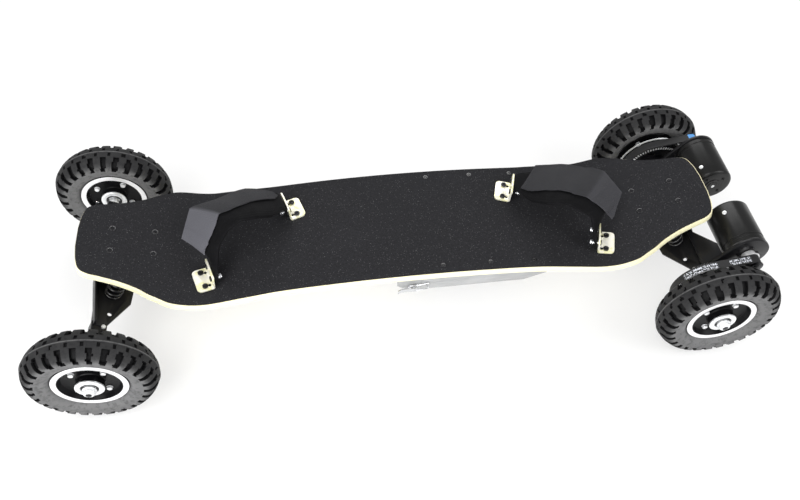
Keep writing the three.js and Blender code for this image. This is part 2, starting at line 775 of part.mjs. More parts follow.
// Battery pack and motor controller inside the case
const packFloor = caseFoot + caseWall + seatGap;
const packTop = flangeTop - caseFlangeThickness - packClearance;
const packHalf = caseFootHalfWidth - caseWall - packClearance;
const packStart = caseFront + capLipReach + packClearance;
piece(board, 'battery_pack', loft([packStart, packStart + packLength].map((x) => [
  at(x, -packHalf + packClearance, packFloor), at(x, packHalf - packClearance, packFloor),
  at(x, packHalf, packFloor + packClearance), at(x, packHalf, packTop - packClearance),
  at(x, packHalf - packClearance, packTop), at(x, -packHalf + packClearance, packTop),
  at(x, -packHalf, packTop - packClearance), at(x, -packHalf, packFloor + packClearance),
])), packWrap);
const controllerStart = packStart + packLength + packClearance;
const finDepth = controllerHeight / 4;
const finPitch = 2 * packHalf / finCount;
const finOutline = Array.from({ length: finCount }, (_, i) => [[0.2, 0], [0.2, 1], [0.8, 1], [0.8, 0]].map(
  ([share, height]) => [packHalf - (i + share) * finPitch,
    packFloor + controllerHeight - finDepth * (1 - height)]))
  .flat();
piece(board, 'motor_controller', crossSlab([[-packHalf, packFloor], [packHalf, packFloor], ...finOutline],
  controllerStart, controllerStart + controllerLength), brightMetal);

// Power button in its bezel, and the charge port, through the far wall
const wallPlace = (x) => at(x, caseHalfWidth, caseTop - buttonDrop);
function wallTurned(profile, x, sides) {
  const spot = wallPlace(x);
  return turnedRing(profile, sides).translate(spot.x, spot.y, spot.z);
}
piece(board, 'button_bezel', wallTurned([
  [buttonRadius + seatGap, -caseWall * 2], [bezelRadius - bezelWall - seatGap, -caseWall * 2],
  [bezelRadius - bezelWall - seatGap, seatGap], [bezelRadius, seatGap],
  [bezelRadius - bezelProud / 2, bezelProud], [buttonRadius + seatGap, bezelProud]], buttonX, 12),
    darkSteel);
const buttonSpot = wallPlace(buttonX);
piece(board, 'power_button', turned([[0, -caseWall * 2 - buttonTravel * 2],
  [buttonStemRadius, -caseWall * 2 - buttonTravel * 2], [buttonStemRadius, -caseWall],
  [buttonRadius, -caseWall], [buttonRadius, buttonProud - seatGap], [buttonRadius - seatGap, buttonProud],
  [0, buttonProud]], 10).translate(buttonSpot.x, buttonSpot.y, buttonSpot.z), brightMetal);
piece(board, 'charge_port', wallTurned([
  [portSocketRadius, portProud - portSocketDepth], [portSocketRadius, portProud],
    [portRadius + portProud / 2, portProud],
  [portRadius + portProud, seatGap], [portRadius, seatGap], [portRadius, -portSocketDepth * 2],
  [portPinRadius, -portSocketDepth * 2], [portPinRadius, portProud - portSocketDepth]], portX, 12),
    blackPlastic);

// Draw latch: a base with two ears on the cap, a lever on its pin, and a wire loop that draws on the
// case's catch
const outBox = (x0, x1, side, low, high, z0, z1) => block(x0, x1,
  Math.min(side * (caseHalfWidth + low), side * (caseHalfWidth + high)),
  Math.max(side * (caseHalfWidth + low), side * (caseHalfWidth + high)), z0, z1);

function latchBase(side) {
  const plate = outBox(latchPivotX - latchBaseLength / 2,
    latchPivotX + latchBaseLength / 2 - latchPivotBack, side,
    seatGap, latchPlateThickness, latchHeight - latchBaseHeight / 2, latchHeight + latchBaseHeight / 2);
  const ears = [-1, 1].map((up) => {
    const z = latchHeight + up * (latchLeverHeight / 2 + latchEarThickness / 2 + seatGap);
    return outBox(latchPivotX - latchEarHalfHeight, latchPivotX + latchEarHalfHeight, side,
      latchPlateThickness / 2,
      latchPivotOut + latchEarHalfHeight - latchPinRadius, z - latchEarThickness / 2,
        z + latchEarThickness / 2);
  });
  const pin = upright(latchPivotX, side * (caseHalfWidth + latchPivotOut),
    latchHeight - latchLeverHeight / 2 - latchEarThickness - seatGap,
    latchHeight + latchLeverHeight / 2 + latchEarThickness + seatGap, latchPinRadius, 8);
  return join(plate, ...ears, pin);
}

// The lever lies back along the cap and its tip curls out for a fingertip
function latchLever(side) {
  const bore = latchPinRadius + seatGap;
  const barrel = bore + latchLeverThickness;
  const back = latchPivotX - latchLeverLength;
  const outline = [
    ...arc(latchPivotX, latchPivotOut, barrel, -quarterTurn, quarterTurn, 6),
    [back, latchPivotOut + barrel],
    [back - latchLipLength * Math.cos(latchLipAngle),
      latchPivotOut + barrel + latchLipLength * Math.sin(latchLipAngle)],
    [back - latchLipLength * Math.cos(latchLipAngle) - latchLeverThickness * Math.sin(latchLipAngle),
      latchPivotOut + barrel + latchLipLength * Math.sin(latchLipAngle) - latchLeverThickness],
    [back, latchPivotOut + barrel - latchLeverThickness],
    [latchPivotX - barrel * 2, latchPivotOut + barrel - latchLeverThickness],
    [latchPivotX - barrel, latchPivotOut - barrel],
  ].map(([x, out]) => [x, side * (caseHalfWidth + out)]);
  const hole = ringPoints(latchPivotX, side * (caseHalfWidth + latchPivotOut), bore, 8);
  const lever = slab(side > 0 ? outline : [...outline].reverse(), latchHeight - latchLeverHeight / 2,
    latchHeight + latchLeverHeight / 2, [hole]);
  const loopHole = upright(latchPivotX - loopPivotBack, side * (caseHalfWidth + latchPivotOut + barrel
    - latchLeverThickness - loopWireRadius - seatGap * 2), latchHeight - latchLeverHeight,
  latchHeight + latchLeverHeight, loopWireRadius + seatGap, 8);
  const boss = upright(latchPivotX - loopPivotBack, side * (caseHalfWidth + latchPivotOut + barrel
    - latchLeverThickness - loopWireRadius - seatGap * 2), latchHeight - latchLeverHeight / 2,
  latchHeight + latchLeverHeight / 2, loopWireRadius + seatGap + latchLeverThickness / 2, 8);
  return cut(join(lever, boss), loopHole);
}

// The wire loop: through the lever, along both sides and across behind the catch
function latchLoop(side) {
  const barrel = latchPinRadius + seatGap + latchLeverThickness;
  const out = latchPivotOut + barrel - latchLeverThickness - loopWireRadius - seatGap * 2;
  const y = side * (caseHalfWidth + out);
  const crossOut = side * (caseHalfWidth + loopWireRadius + seatGap * 3);
  const [x0, x1] = [latchPivotX - loopPivotBack,
    catchX + catchThickness / 2 + loopBehindCatch + loopWireRadius];
  const z = [latchHeight - loopHalfHeight, latchHeight + loopHalfHeight];
  const wire = (from, to) => rod(at(...from), at(...to), loopWireRadius, 5);
  const bend = latchPivotX + barrel;
  return join(wire([x0, y, z[0]], [x0, y, z[1]]), wire([x1, crossOut, z[0]], [x1, crossOut, z[1]]),
    ...z.map((level) => join(wire([x0 - loopWireRadius, y, level], [bend, y, level]),
      wire([bend - loopWireRadius / 2, y, level], [x1 + loopWireRadius / 2, crossOut, level]))));
}

const latchSide = -1;
piece(board, 'latch_base', latchBase(latchSide), brightMetal);
piece(board, 'latch_lever', latchLever(latchSide), brightMetal);
piece(board, 'latch_loop', latchLoop(latchSide), brightMetal);

// Trucks

// Where the underside of the deck's tip runs in a truck's own frame
const cosLean = Math.cos(leanAxisAngle);
const sinLean = Math.sin(leanAxisAngle);
const toTruck = (x, z) => [(x - halfBase) * cosLean + (z - axleHeight) * sinLean,
  -(x - halfBase) * sinLean + (z - axleHeight) * cosLean];
const tipLean = leanAxisAngle - tipAngle;
const [plateX, plateZ] = toTruck(truckCentre, deckUnder(truckCentre));
const underDeckAt = (x) => plateZ - (x - plateX) * Math.tan(tipLean) - seatGap / Math.cos(tipLean);
const plateFootAt = (x) => underDeckAt(x) - basePlateThickness / Math.cos(tipLean);

// Upper bracket: base plate under the tip, two ears for the kingpin, and a wing plate over the springs
function truckBracket() {
  const reach = basePlateLength / 2 * Math.cos(tipLean);
  const basePlate = wallSlab([[plateX - reach, plateFootAt(plateX - reach)], [plateX + reach,
    plateFootAt(plateX + reach)],
    [plateX + reach, underDeckAt(plateX + reach)], [plateX - reach, underDeckAt(plateX - reach)]],
  -basePlateWidth / 2, basePlateWidth / 2);
  const earPlaces = [sleeveStart - bushingGap - earThickness, sleeveEnd + bushingGap];
  const ears = earPlaces.map((x) => {
    const top = plateFootAt(x + earThickness / 2) + basePlateThickness / 2;
    const outline = [...arc(0, kingpinRise, earTipRadius, Math.PI, 2 * Math.PI, 6), [earBaseHalfWidth, top],
      [-earBaseHalfWidth, top]];
    return crossSlab(outline, x, x + earThickness, [ringPoints(0, kingpinRise, kingpinRadius + seatGap,
      10)]);
  });
  const webs = [-1, 1].map((side) => wallSlab([[earPlaces[0] + earThickness / 2, springPlateHeight],
    [earPlaces[1] + earThickness / 2, springPlateHeight],
    [earPlaces[1] + earThickness / 2, plateFootAt(earPlaces[1]) + basePlateThickness / 3],
    [earPlaces[0] + earThickness / 2, plateFootAt(earPlaces[0]) + basePlateThickness / 3]],
  side * bracketWebHalfSpacing - bracketWebThickness / 2,
    side * bracketWebHalfSpacing + bracketWebThickness / 2));
  const wing = slab(roundedRectangle(springX - springPlateLength / 2, springX + springPlateLength / 2,
    -springPlateWidth / 2, springPlateWidth / 2, springPlateLength / 3), springPlateHeight,
  springPlateHeight + springPlateThickness);
  const pegs = [-1, 1].map((side) => upright(springX, side * springY, springPlateHeight - springPegHeight,
    springPlateHeight + springPlateThickness / 2, springPegRadius, 8));
  const bolts = [-1, 1].flatMap((along) => [-1, 1].map((side) => {
    const x = truckCentre + along * truckBoltSpacingX / 2 * Math.cos(tipAngle);
    const y = side * truckBoltSpacingY / 2;
    const under = deckThickness + seatGap + basePlateThickness;
    const bolt = join(squareToDeck(x, y, seatGap, seatGap + truckBoltHeadHeight, truckBoltHeadRadius, 6),
      squareToDeck(x, y, -under - truckNutHeight - seatGap, seatGap * 2, truckBoltRadius, 6),
      squareToDeck(x, y, -under - truckNutHeight, -under + seatGap, truckBoltHeadRadius, 6));
    return bolt.translate(-halfBase, 0, -axleHeight).rotateY(leanAxisAngle);
  }));
  return join(basePlate, ...ears, ...webs, wing, ...pegs, ...bolts);
}

// Hanger: axle tube, bow-tie spring plate with a raised wall, kingpin sleeve and square axle ends
function hanger() {
  const side = (sign) => [
    [hangerInnerEdge, sign * hangerWideHalf * hangerShoulderShare], [
      hangerInnerEdge * hangerCornerShare, sign * hangerWideHalf],
    [hangerNarrowInner, sign * hangerNarrowHalf], [hangerNarrowOuter, sign * hangerNarrowHalf],
    [hangerOuterEdge, sign * hangerWideHalf * hangerShoulderShare],
  ];
  const holes = [-1, 1].map((sign) => ringPoints(hangerHoleX, sign * hangerHoleY, hangerHoleRadius, 6));
  const plate = slab([...side(-1), ...side(1).reverse()], hangerPlateTop - hangerPlateThickness,
    hangerPlateTop, holes);
  const wall = slab([...side(-1).slice(3), ...side(1).slice(3).reverse(),
    ...side(1).slice(3).map(([x, y]) => [x - hangerWallThickness, y]),
    ...side(-1).slice(3).reverse().map(([x, y]) => [x - hangerWallThickness, y])],
  hangerPlateTop - hangerPlateThickness / 2, hangerPlateTop + hangerWallHeight);
  const tube = rod(at(0, -endBlockStart - hangerPlateThickness, 0), at(0,
    endBlockStart + hangerPlateThickness, 0),
    axleTubeRadius, 12);
  const ends = [-1, 1].map((sign) => block(-endBlockSize / 2, endBlockSize / 2,
    Math.min(sign * endBlockStart, sign * endBlockEnd), Math.max(sign * endBlockStart, sign * endBlockEnd),
    -endBlockSize / 2, endBlockSize / 2));
  const sleeve = rod(at(sleeveStart, 0, kingpinRise), at(sleeveEnd, 0, kingpinRise), sleeveRadius, 12);
  const web = block(sleeveStart, sleeveEnd, -sleeveWebHalfWidth, sleeveWebHalfWidth,
    hangerPlateTop - hangerPlateThickness / 2, kingpinRise);
  const pegs = [-1, 1].map((sign) => upright(springX, sign * springY,
    hangerPlateTop - hangerPlateThickness / 2,
    hangerPlateTop + springPegHeight, springPegRadius, 8));
  const sleeveBore = rod(at(sleeveStart - cutOverrun, 0, kingpinRise), at(sleeveEnd + cutOverrun, 0,
    kingpinRise),
    bushingRadius + seatGap * 2, 12);
  const axleBore = rod(at(0, -endBlockEnd - cutOverrun, 0), at(0, endBlockEnd + cutOverrun, 0),
    axleRadius + seatGap * 2, 8);
  return cut(join(plate, wall, tube, ...ends, sleeve, web, ...pegs), sleeveBore, axleBore);
}

function kingpin() {
  const headFace = sleeveEnd + bushingGap + earThickness + seatGap;
  const nutFace = sleeveStart - bushingGap - earThickness - seatGap;
  return join(rod(at(nutFace - kingpinHeadHeight * kingpinTailShare, 0, kingpinRise),
    at(headFace + kingpinHeadHeight / 2, 0,
    kingpinRise), kingpinRadius, 12),
  rod(at(headFace, 0, kingpinRise), at(headFace + kingpinHeadHeight, 0, kingpinRise), kingpinHeadRadius, 6),
  rod(at(nutFace - kingpinHeadHeight, 0, kingpinRise), at(nutFace, 0, kingpinRise), kingpinHeadRadius, 6));
}

function bushing() {
  const bush = turnedRing([
    [kingpinRadius + seatGap, sleeveStart - bushingFlangeThickness], [sleeveRadius,
      sleeveStart - bushingFlangeThickness],
    [sleeveRadius, sleeveStart - seatGap], [bushingRadius, sleeveStart - seatGap],
    [bushingRadius, sleeveEnd + seatGap], [sleeveRadius, sleeveEnd + seatGap],
    [sleeveRadius, sleeveEnd + bushingFlangeThickness], [kingpinRadius + seatGap,
      sleeveEnd + bushingFlangeThickness],
  ], 10);
  return bush.rotateZ(-quarterTurn).translate(0, 0, kingpinRise);
}

// Coil spring between the two plates: one unbroken tube, with a dead turn flattened on each seat
const springLow = hangerPlateTop + seatGap + springWireRadius;
const springHigh = springPlateHeight - seatGap - springWireRadius;
const coilSteps = 8;
const wireSides = 5;
const deadTurnShare = 0.75;

function springPath(turn) {
  const rise = THREE.MathUtils.clamp((turn - deadTurnShare) / (springTurns - 2 * deadTurnShare), 0, 1);
  const ease = (turn < deadTurnShare ? turn / deadTurnShare : 0) * deadTurnRise
    + (turn > springTurns - deadTurnShare ? (turn - springTurns
      + deadTurnShare) / deadTurnShare : 0) * deadTurnRise;
  const lift = rise * (springHigh - springLow - 2 * deadTurnRise) + ease
    + (turn >= deadTurnShare ? deadTurnRise : 0);
  const angle = turn * 2 * Math.PI;
  return at(springCoilRadius * Math.cos(angle), springCoilRadius * Math.sin(angle), springLow + lift);
}

function coilSpring() {
  const steps = springTurns * coilSteps;
  const rings = Array.from({ length: steps + 1 }, (_, i) => {
    const turn = i / coilSteps;
    const centre = springPath(turn);
    const angle = turn * 2 * Math.PI;
    const out = at(Math.cos(angle), Math.sin(angle), 0);
    const up = at(0, 0, 1);
    return Array.from({ length: wireSides }, (_unused, j) => {
      const around = j / wireSides * 2 * Math.PI;
      return centre.clone().addScaledVector(out, springWireRadius * Math.cos(around))
        .addScaledVector(up, springWireRadius * Math.sin(around));
    });
  });
  return loft(rings);
}

// Least gap of the spring's wire to itself, measured between points more than half a turn apart
const probesPerTurn = 4 * coilSteps;
function springSelfGap() {
  const points = Array.from({ length: springTurns * probesPerTurn + 1 }, (_, i) => [i / probesPerTurn,
    springPath(i / probesPerTurn)]);
  let least = Infinity;
  for (const [a, p] of points) {
    for (const [b, q] of points) {
      if (b - a > 0.5) least = Math.min(least, p.distanceTo(q) - 2 * springWireRadius);
    }
  }
  return least;
}
console.log(`least gap of a spring's wire to itself: ${springSelfGap().toFixed(2)} mm`);

// Wheels, built about the origin with their axle along y

const flangeGap = rimFlangeThickness + seatGap;
const sideFace = rimWidth / 2 - flangeGap;

// Half of the tyre's section from the bead to the tread, and how far each row stands back in a groove
const tyreRadius = tyreDiameter / 2;
const tyreHalf = tyreWidth / 2;
const tyreSection = [
  [rimSeatRadius + seatGap, sideFace, 0, 0],
  [rimFlangeRadius + seatGap * 4, sideFace + seatGap, 0, 0],
  ...tyreWallShares.map(([radius, half, groove, stagger]) => [tyreRadius * radius, tyreHalf * half,
    treadDepth * groove, stagger]),
];

function tyre() {
  const columns = knobPitchCount * 2;
  const rings = Array.from({ length: columns }, (_, i) => {
    const angle = i / columns * 2 * Math.PI;
    const row = (side) => tyreSection.map(([r, y, groove, stagger]) => {
      const inGroove = (i + stagger + (side > 0 ? 0 : 1)) % 2 === 1;
      const radius = r - (inGroove ? groove : 0);
      return at(radius * Math.cos(angle), side * y, radius * Math.sin(angle));
    });
    return [...row(1), ...row(-1).reverse()];
  });
  return wheelRing(rings);
}

// A closed ring of sections, the last joined to the first
function wheelRing(rings) {
  const around = rings[0].length;
  const index = [];
  for (let i = 0; i < rings.length; i += 1) {
    const n = (i + 1) % rings.length;
    for (let j = 0; j < around; j += 1) {
      const k = (j + 1) % around;
      index.push(i * around + j, i * around + k, n * around + k, i * around + j, n * around + k,
        n * around + j);
    }
  }
  const geometry = new THREE.BufferGeometry();
  geometry.setAttribute('position', new THREE.Float32BufferAttribute(rings.flat().flatMap((p) => [p.x,
    p.y, p.z]), 3));
  geometry.setIndex(index);
  return facesOut(geometry);
}

// Rim: flanges, barrel, dished web and hub with its caps
function rim() {
  const half = rimWidth / 2;
  const webFace = rimWebThickness / 2;
  const hubEnd = hubLength / 2 + hubCapThickness;
  const side = (s) => [
    [bearingRadius + seatGap, s * hubEnd], [hubCapRadius, s * hubEnd], [hubCapRadius, s * webFace],
    [rimDishFootRadius, s * webFace], [rimDishRadius, s * half], [rimFlangeRadius, s * half],
    [rimFlangeRadius, s * (half - rimFlangeThickness)], [rimSeatRadius, s * (half - rimFlangeThickness)],
  ];
  return turnedRing([...side(1), ...side(-1).reverse()], 16);
}

// Two bearings and the sleeve between them
function bearingSet() {
  const outer = hubLength / 2 - seatGap;
  const inner = outer - bearingWidth;
  return turnedRing([[axleRadius + bearingRunGap, -outer], [bearingRadius, -outer], [bearingRadius, -inner],
    [spacerRadius, -inner], [spacerRadius, inner], [bearingRadius, inner], [bearingRadius, outer],
    [axleRadius + bearingRunGap, outer]], 8);
}

// Axle through the hanger, with the spacers outside its square ends and the lock nuts outside the wheels
function axle() {
  const end = axleOverallWidth / 2;
  const nutOut = end - axleEndProud;
  const nutIn = nutOut - axleNutThickness;
  const wheelIn = halfTrack - hubLength / 2;
  const wheelOut = halfTrack + hubLength / 2;
  const outerSleeve = [-1, 1].map((s) => rod(at(0, s * wheelOut, 0), at(0, s * (nutIn + seatGap), 0),
    spacerRadius, 8));
  const innerSleeve = [-1, 1].map((s) => rod(at(0, s * (endBlockEnd + seatGap), 0), at(0, s * wheelIn, 0),
    spacerRadius, 8));
  const nuts = [-1, 1].map((s) => rod(at(0, s * nutIn, 0), at(0, s * nutOut, 0), axleNutRadius, 6));
  return join(rod(at(0, -end, 0), at(0, end, 0), axleRadius, 8), ...outerSleeve, ...innerSleeve, ...nuts);
}

// Belt drive

const pitchRadius = (teeth) => teeth * beltPitch / (2 * Math.PI);
const wheelTip = pitchRadius(wheelPulleyTeeth) - pitchLineOffset;
const motorTip = pitchRadius(motorPulleyTeeth) - pitchLineOffset;
const motorX = beltCentreDistance * Math.cos(motorDirection);
const motorZ = beltCentreDistance * Math.sin(motorDirection);

function toothedOutline(teeth, tip, cx, cz) {
  const step = 2 * Math.PI / teeth;
  return Array.from({ length: teeth }, (_, i) => pulleyToothShares.map(([share, height]) => {
    const radius = tip - toothDepth * (1 - height);
    return [cx + radius * Math.cos((i + share) * step), cz + radius * Math.sin((i + share) * step)];
  })).flat();
}

// Wheel pulley on the inner side of a tail wheel, with a spigot that reaches the rim's web
function wheelPulley(side) {
  const inner = beltInner - pulleySideGap;
  const outer = beltInner + beltWidth + pulleySideGap;
  const rootRadius = wheelTip - toothDepth;
  const rimInner = rootRadius - pulleyRimThickness;
  const spigotEnd = halfTrack - rimWebThickness / 2 - seatGap;
  const toothed = wallSlab(toothedOutline(wheelPulleyTeeth, wheelTip, 0, 0), inner, outer,
    [ringPoints(0, 0, rimInner, 16)]);
  const holes = Array.from({ length: pulleyHoleCount }, (_, i) => {
    const angle = (i + 0.5) / pulleyHoleCount * 2 * Math.PI;
    const radius = (rimInner + pulleyHubRadius) / 2;
    return ringPoints(radius * Math.cos(angle), radius * Math.sin(angle), pulleyHoleRadius, 6);
  });
  const middle = (inner + outer) / 2;
  const web = wallSlab(ringPoints(0, 0, rimInner + pulleyRimThickness / 2, 16),
    middle - pulleyWebThickness / 2,
    middle + pulleyWebThickness / 2, [ringPoints(0, 0, hubCapRadius + pulleyBoreGap, 12), ...holes]);
  const hub = washer(pulleyHubRadius, hubCapRadius + pulleyBoreGap, inner, spigotEnd, 12);
  const pulley = join(toothed, web, hub);
  return side > 0 ? pulley : mirroredY(pulley);
}

// Motor pulley on its shaft, with a flange each side of the belt
function motorPulley(side) {
  const inner = beltInner - pulleySideGap / 2;
  const outer = beltInner + beltWidth + pulleySideGap / 2;
  const toothed = wallSlab(toothedOutline(motorPulleyTeeth, motorTip, motorX, motorZ), inner - seatGap,
    outer + seatGap);
  const flanges = [[inner - pulleyFlangeThickness, inner], [outer, outer + pulleyFlangeThickness]]
    .map(([y0, y1]) => rod(at(motorX, y0, motorZ), at(motorX, y1, motorZ), pulleyFlangeRadius, 10));
  const shaft = rod(at(motorX, motorOuterEnd - shaftSocketDepth + seatGap, motorZ),
    at(motorX, outer + pulleyFlangeThickness + motorShaftRadius / 2, motorZ), motorShaftRadius, 8);
  const pulley = join(toothed, ...flanges, shaft);
  return side > 0 ? pulley : mirroredY(pulley);
}

// The two tangent lines of an open belt leave the line of centres by this angle on both pulleys
function beltLoop(wheelRadius, motorRadiusHere, wheelSteps, motorSteps) {
  const open = Math.acos((wheelRadius - motorRadiusHere) / beltCentreDistance);
  return {
    wheel: arc(0, 0, wheelRadius, motorDirection + open, motorDirection + 2 * Math.PI - open, wheelSteps),
    motor: arc(motorX, motorZ, motorRadiusHere, motorDirection - open, motorDirection + open, motorSteps),
  };
}

// Teeth that stand in from a straight stretch of the belt, between the places where each pulley's
// teeth let go
const letGo = (tip) => Math.sqrt(2 * tip * toothDepth);
function spanTeeth(from, to, fromTip, toTip) {
  const [dx, dz] = [to[0] - from[0], to[1] - from[1]];
  const length = Math.hypot(dx, dz);
  const [ux, uz] = [dx / length, dz / length];
  const free = length - letGo(fromTip) - letGo(toTip);
  const count = Math.floor(free / beltPitch);
  const start = letGo(fromTip) + (free - count * beltPitch) / 2;
  return Array.from({ length: count }, (_, i) => beltToothShares.map(([share, depth]) => {
    const run = start + (i + share) * beltPitch;
    return [from[0] + ux * run - uz * depth * toothDepth, from[1] + uz * run + ux * depth * toothDepth];
  })).flat();
}

function belt(side) {
  const inside = beltLoop(wheelTip + seatGap, motorTip + seatGap, 24, 5);
  const outside = beltLoop(wheelTip + seatGap + beltBackThickness,
    motorTip + seatGap + beltBackThickness, 24, 5);
  const innerLine = [...inside.wheel, ...spanTeeth(inside.wheel.at(-1), inside.motor[0], wheelTip,
    motorTip),
    ...inside.motor, ...spanTeeth(inside.motor.at(-1), inside.wheel[0], motorTip, wheelTip)];
  const band = wallSlab([...outside.wheel, ...outside.motor], beltInner, beltInner + beltWidth,
    [innerLine]);
  return side > 0 ? band : mirroredY(band);
}

// Motor: a closed can with rounded edges, raised bands, an end boss, a shaft socket and a cable gland
function motor(side) {
  const [inner, outer] = [motorInnerEnd, motorOuterEnd];
  const bandFoot = outer - motorBandWidth * 2;
  const can = turned([
    [0, inner - motorBossHeight], [motorBossRadius, inner - motorBossHeight], [motorBossRadius, inner],
    [motorRadius - motorEdgeRound, inner],
    [motorRadius - motorEdgeRound * motorEdgeShare, inner + motorEdgeRound * motorEdgeShare],
    [motorRadius, inner + motorEdgeRound], [motorRadius, bandFoot], [motorRadius - motorBandDepth,
      bandFoot],
    [motorRadius - motorBandDepth, bandFoot + motorBandWidth], [motorRadius, bandFoot + motorBandWidth],
    [motorRadius, outer],
    [motorShaftRadius + seatGap, outer], [motorShaftRadius + seatGap, outer - shaftSocketDepth],
    [0, outer - shaftSocketDepth]], 16).translate(motorX, 0, motorZ);
  const glandY = inner + motorEdgeRound * 2 + glandRadius;
  const gland = rod(at(motorX, glandY, motorZ - motorRadius + glandLength),
    at(motorX, glandY, motorZ - motorRadius - glandLength), glandRadius, 8);
  const body = join(can, gland);
  return side > 0 ? body : mirroredY(body);
}

// Motor mount: a plate that closes round the hanger's square end and carries the motor's face, with a
// shelf that covers the gap from the hanger to the motor
function motorMount(side) {
  const open = Math.acos((mountAxleRadius - mountMotorRadius) / beltCentreDistance);
  const outline = [
    ...arc(0, 0, mountAxleRadius, motorDirection + open, motorDirection + 2 * Math.PI - open, 8),
    ...arc(motorX, motorZ, mountMotorRadius, motorDirection - open, motorDirection + open, 12),
  ];
  const half = endBlockSize / 2 + seatGap;
  const turn = ([x, z]) => [x * cosLean - z * sinLean, x * sinLean + z * cosLean];
  const socket = [[-half, -half], [half, -half], [half, half], [-half, half]].map(turn);
  const start = motorOuterEnd + seatGap;
  const plate = wallSlab(outline, start, start + mountThickness,
    [socket, ringPoints(motorX, motorZ, mountShaftHoleRadius, 10),
      ringPoints(motorX * mountSlotShare, motorZ * mountSlotShare, mountSlotRadius, 8)]);
  const shelf = slab([[shelfStart, shelfInnerEdge], [shelfEnd, shelfRakedEdge],
    [shelfEnd, start + mountThickness / 2], [shelfStart, start + mountThickness / 2]],
  shelfHeight, shelfHeight + shelfThickness);
  const mount = join(plate, shelf);
  return side > 0 ? mount : mirroredY(mount);
}

// Assembly of both ends

for (const [end, name] of [[-1, 'nose'], [1, 'tail']]) {
  const endGroup = new THREE.Group();
  endGroup.rotation.z = end > 0 ? 0 : Math.PI;
  board.add(endGroup);
  const truck = new THREE.Group();
  truck.position.set(halfBase, 0, axleHeight);
  truck.rotation.y = -leanAxisAngle;
  endGroup.add(truck);
  piece(truck, `truck_bracket_${name}`, truckBracket(), blackPaint);
  piece(truck, `hanger_${name}`, hanger(), blackPaint);
  piece(truck, `kingpin_${name}`, kingpin(), darkSteel);
  piece(truck, `kingpin_bushing_${name}`, bushing(), blackPlastic);

  const axleLine = new THREE.Group();
  axleLine.position.set(halfBase, 0, axleHeight);
  endGroup.add(axleLine);
  piece(axleLine, `axle_${name}`, axle(), brightMetal);

  for (const [side, sideName] of [[-end, 'near'], [end, 'far']]) {
    const spring = piece(truck, `spring_${name}_${sideName}`, coilSpring(), darkSteel);
    spring.position.set(springX, side * springY, 0);
    const wheel = new THREE.Group();
    wheel.position.y = side * halfTrack;
    axleLine.add(wheel);
    piece(wheel, `tyre_${name}_${sideName}`, tyre(), tyreRubber);
    piece(wheel, `rim_${name}_${sideName}`, rim(), blackPlastic);
    piece(wheel, `wheel_bearings_${name}_${sideName}`, bearingSet(), brightMetal);
    if (end > 0) {
      piece(axleLine, `wheel_pulley_${sideName}`, wheelPulley(side), blackPlastic);
      piece(axleLine, `belt_${sideName}`, belt(side), beltRubber);
      piece(axleLine, `motor_${sideName}`, motor(side), blackPaint);
      piece(axleLine, `motor_pulley_${sideName}`, motorPulley(side), brightMetal);
      piece(axleLine, `motor_mount_${sideName}`, motorMount(side), blackPaint);
    }
  }
}

export default board;
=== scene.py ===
# Dresses the electric mountainboard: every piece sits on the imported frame. Lengths are in
# millimetres until a mesh is made, and angles in radians. The motors are at +x.
import json
import math

import bmesh
import bpy
from mathutils import Matrix, Vector
from mathutils.kdtree import KDTree
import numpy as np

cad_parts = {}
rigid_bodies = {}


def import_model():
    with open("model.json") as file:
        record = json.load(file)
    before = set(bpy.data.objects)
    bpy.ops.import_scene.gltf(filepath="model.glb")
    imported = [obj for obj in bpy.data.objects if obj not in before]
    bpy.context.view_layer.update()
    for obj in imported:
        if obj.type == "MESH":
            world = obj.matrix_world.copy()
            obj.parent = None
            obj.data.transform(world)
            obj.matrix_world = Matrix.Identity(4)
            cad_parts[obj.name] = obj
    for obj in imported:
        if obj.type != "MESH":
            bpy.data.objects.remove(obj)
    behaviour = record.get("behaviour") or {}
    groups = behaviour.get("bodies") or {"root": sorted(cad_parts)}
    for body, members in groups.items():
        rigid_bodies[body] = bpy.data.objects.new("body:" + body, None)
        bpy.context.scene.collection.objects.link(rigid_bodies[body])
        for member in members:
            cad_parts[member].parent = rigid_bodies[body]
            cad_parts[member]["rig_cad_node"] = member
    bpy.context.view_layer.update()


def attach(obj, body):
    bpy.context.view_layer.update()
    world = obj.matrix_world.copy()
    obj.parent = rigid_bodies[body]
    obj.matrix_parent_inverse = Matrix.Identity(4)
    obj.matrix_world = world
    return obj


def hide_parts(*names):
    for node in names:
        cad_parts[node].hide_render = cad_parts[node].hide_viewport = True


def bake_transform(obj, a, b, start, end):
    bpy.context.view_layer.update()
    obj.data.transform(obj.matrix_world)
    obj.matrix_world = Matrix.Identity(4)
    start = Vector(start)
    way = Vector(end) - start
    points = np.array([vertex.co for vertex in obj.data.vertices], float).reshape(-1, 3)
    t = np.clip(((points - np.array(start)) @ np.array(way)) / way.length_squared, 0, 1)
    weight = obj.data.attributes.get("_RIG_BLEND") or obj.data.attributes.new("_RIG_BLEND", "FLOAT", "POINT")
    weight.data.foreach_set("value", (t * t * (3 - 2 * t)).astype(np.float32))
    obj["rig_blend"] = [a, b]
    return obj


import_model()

MM = 0.001

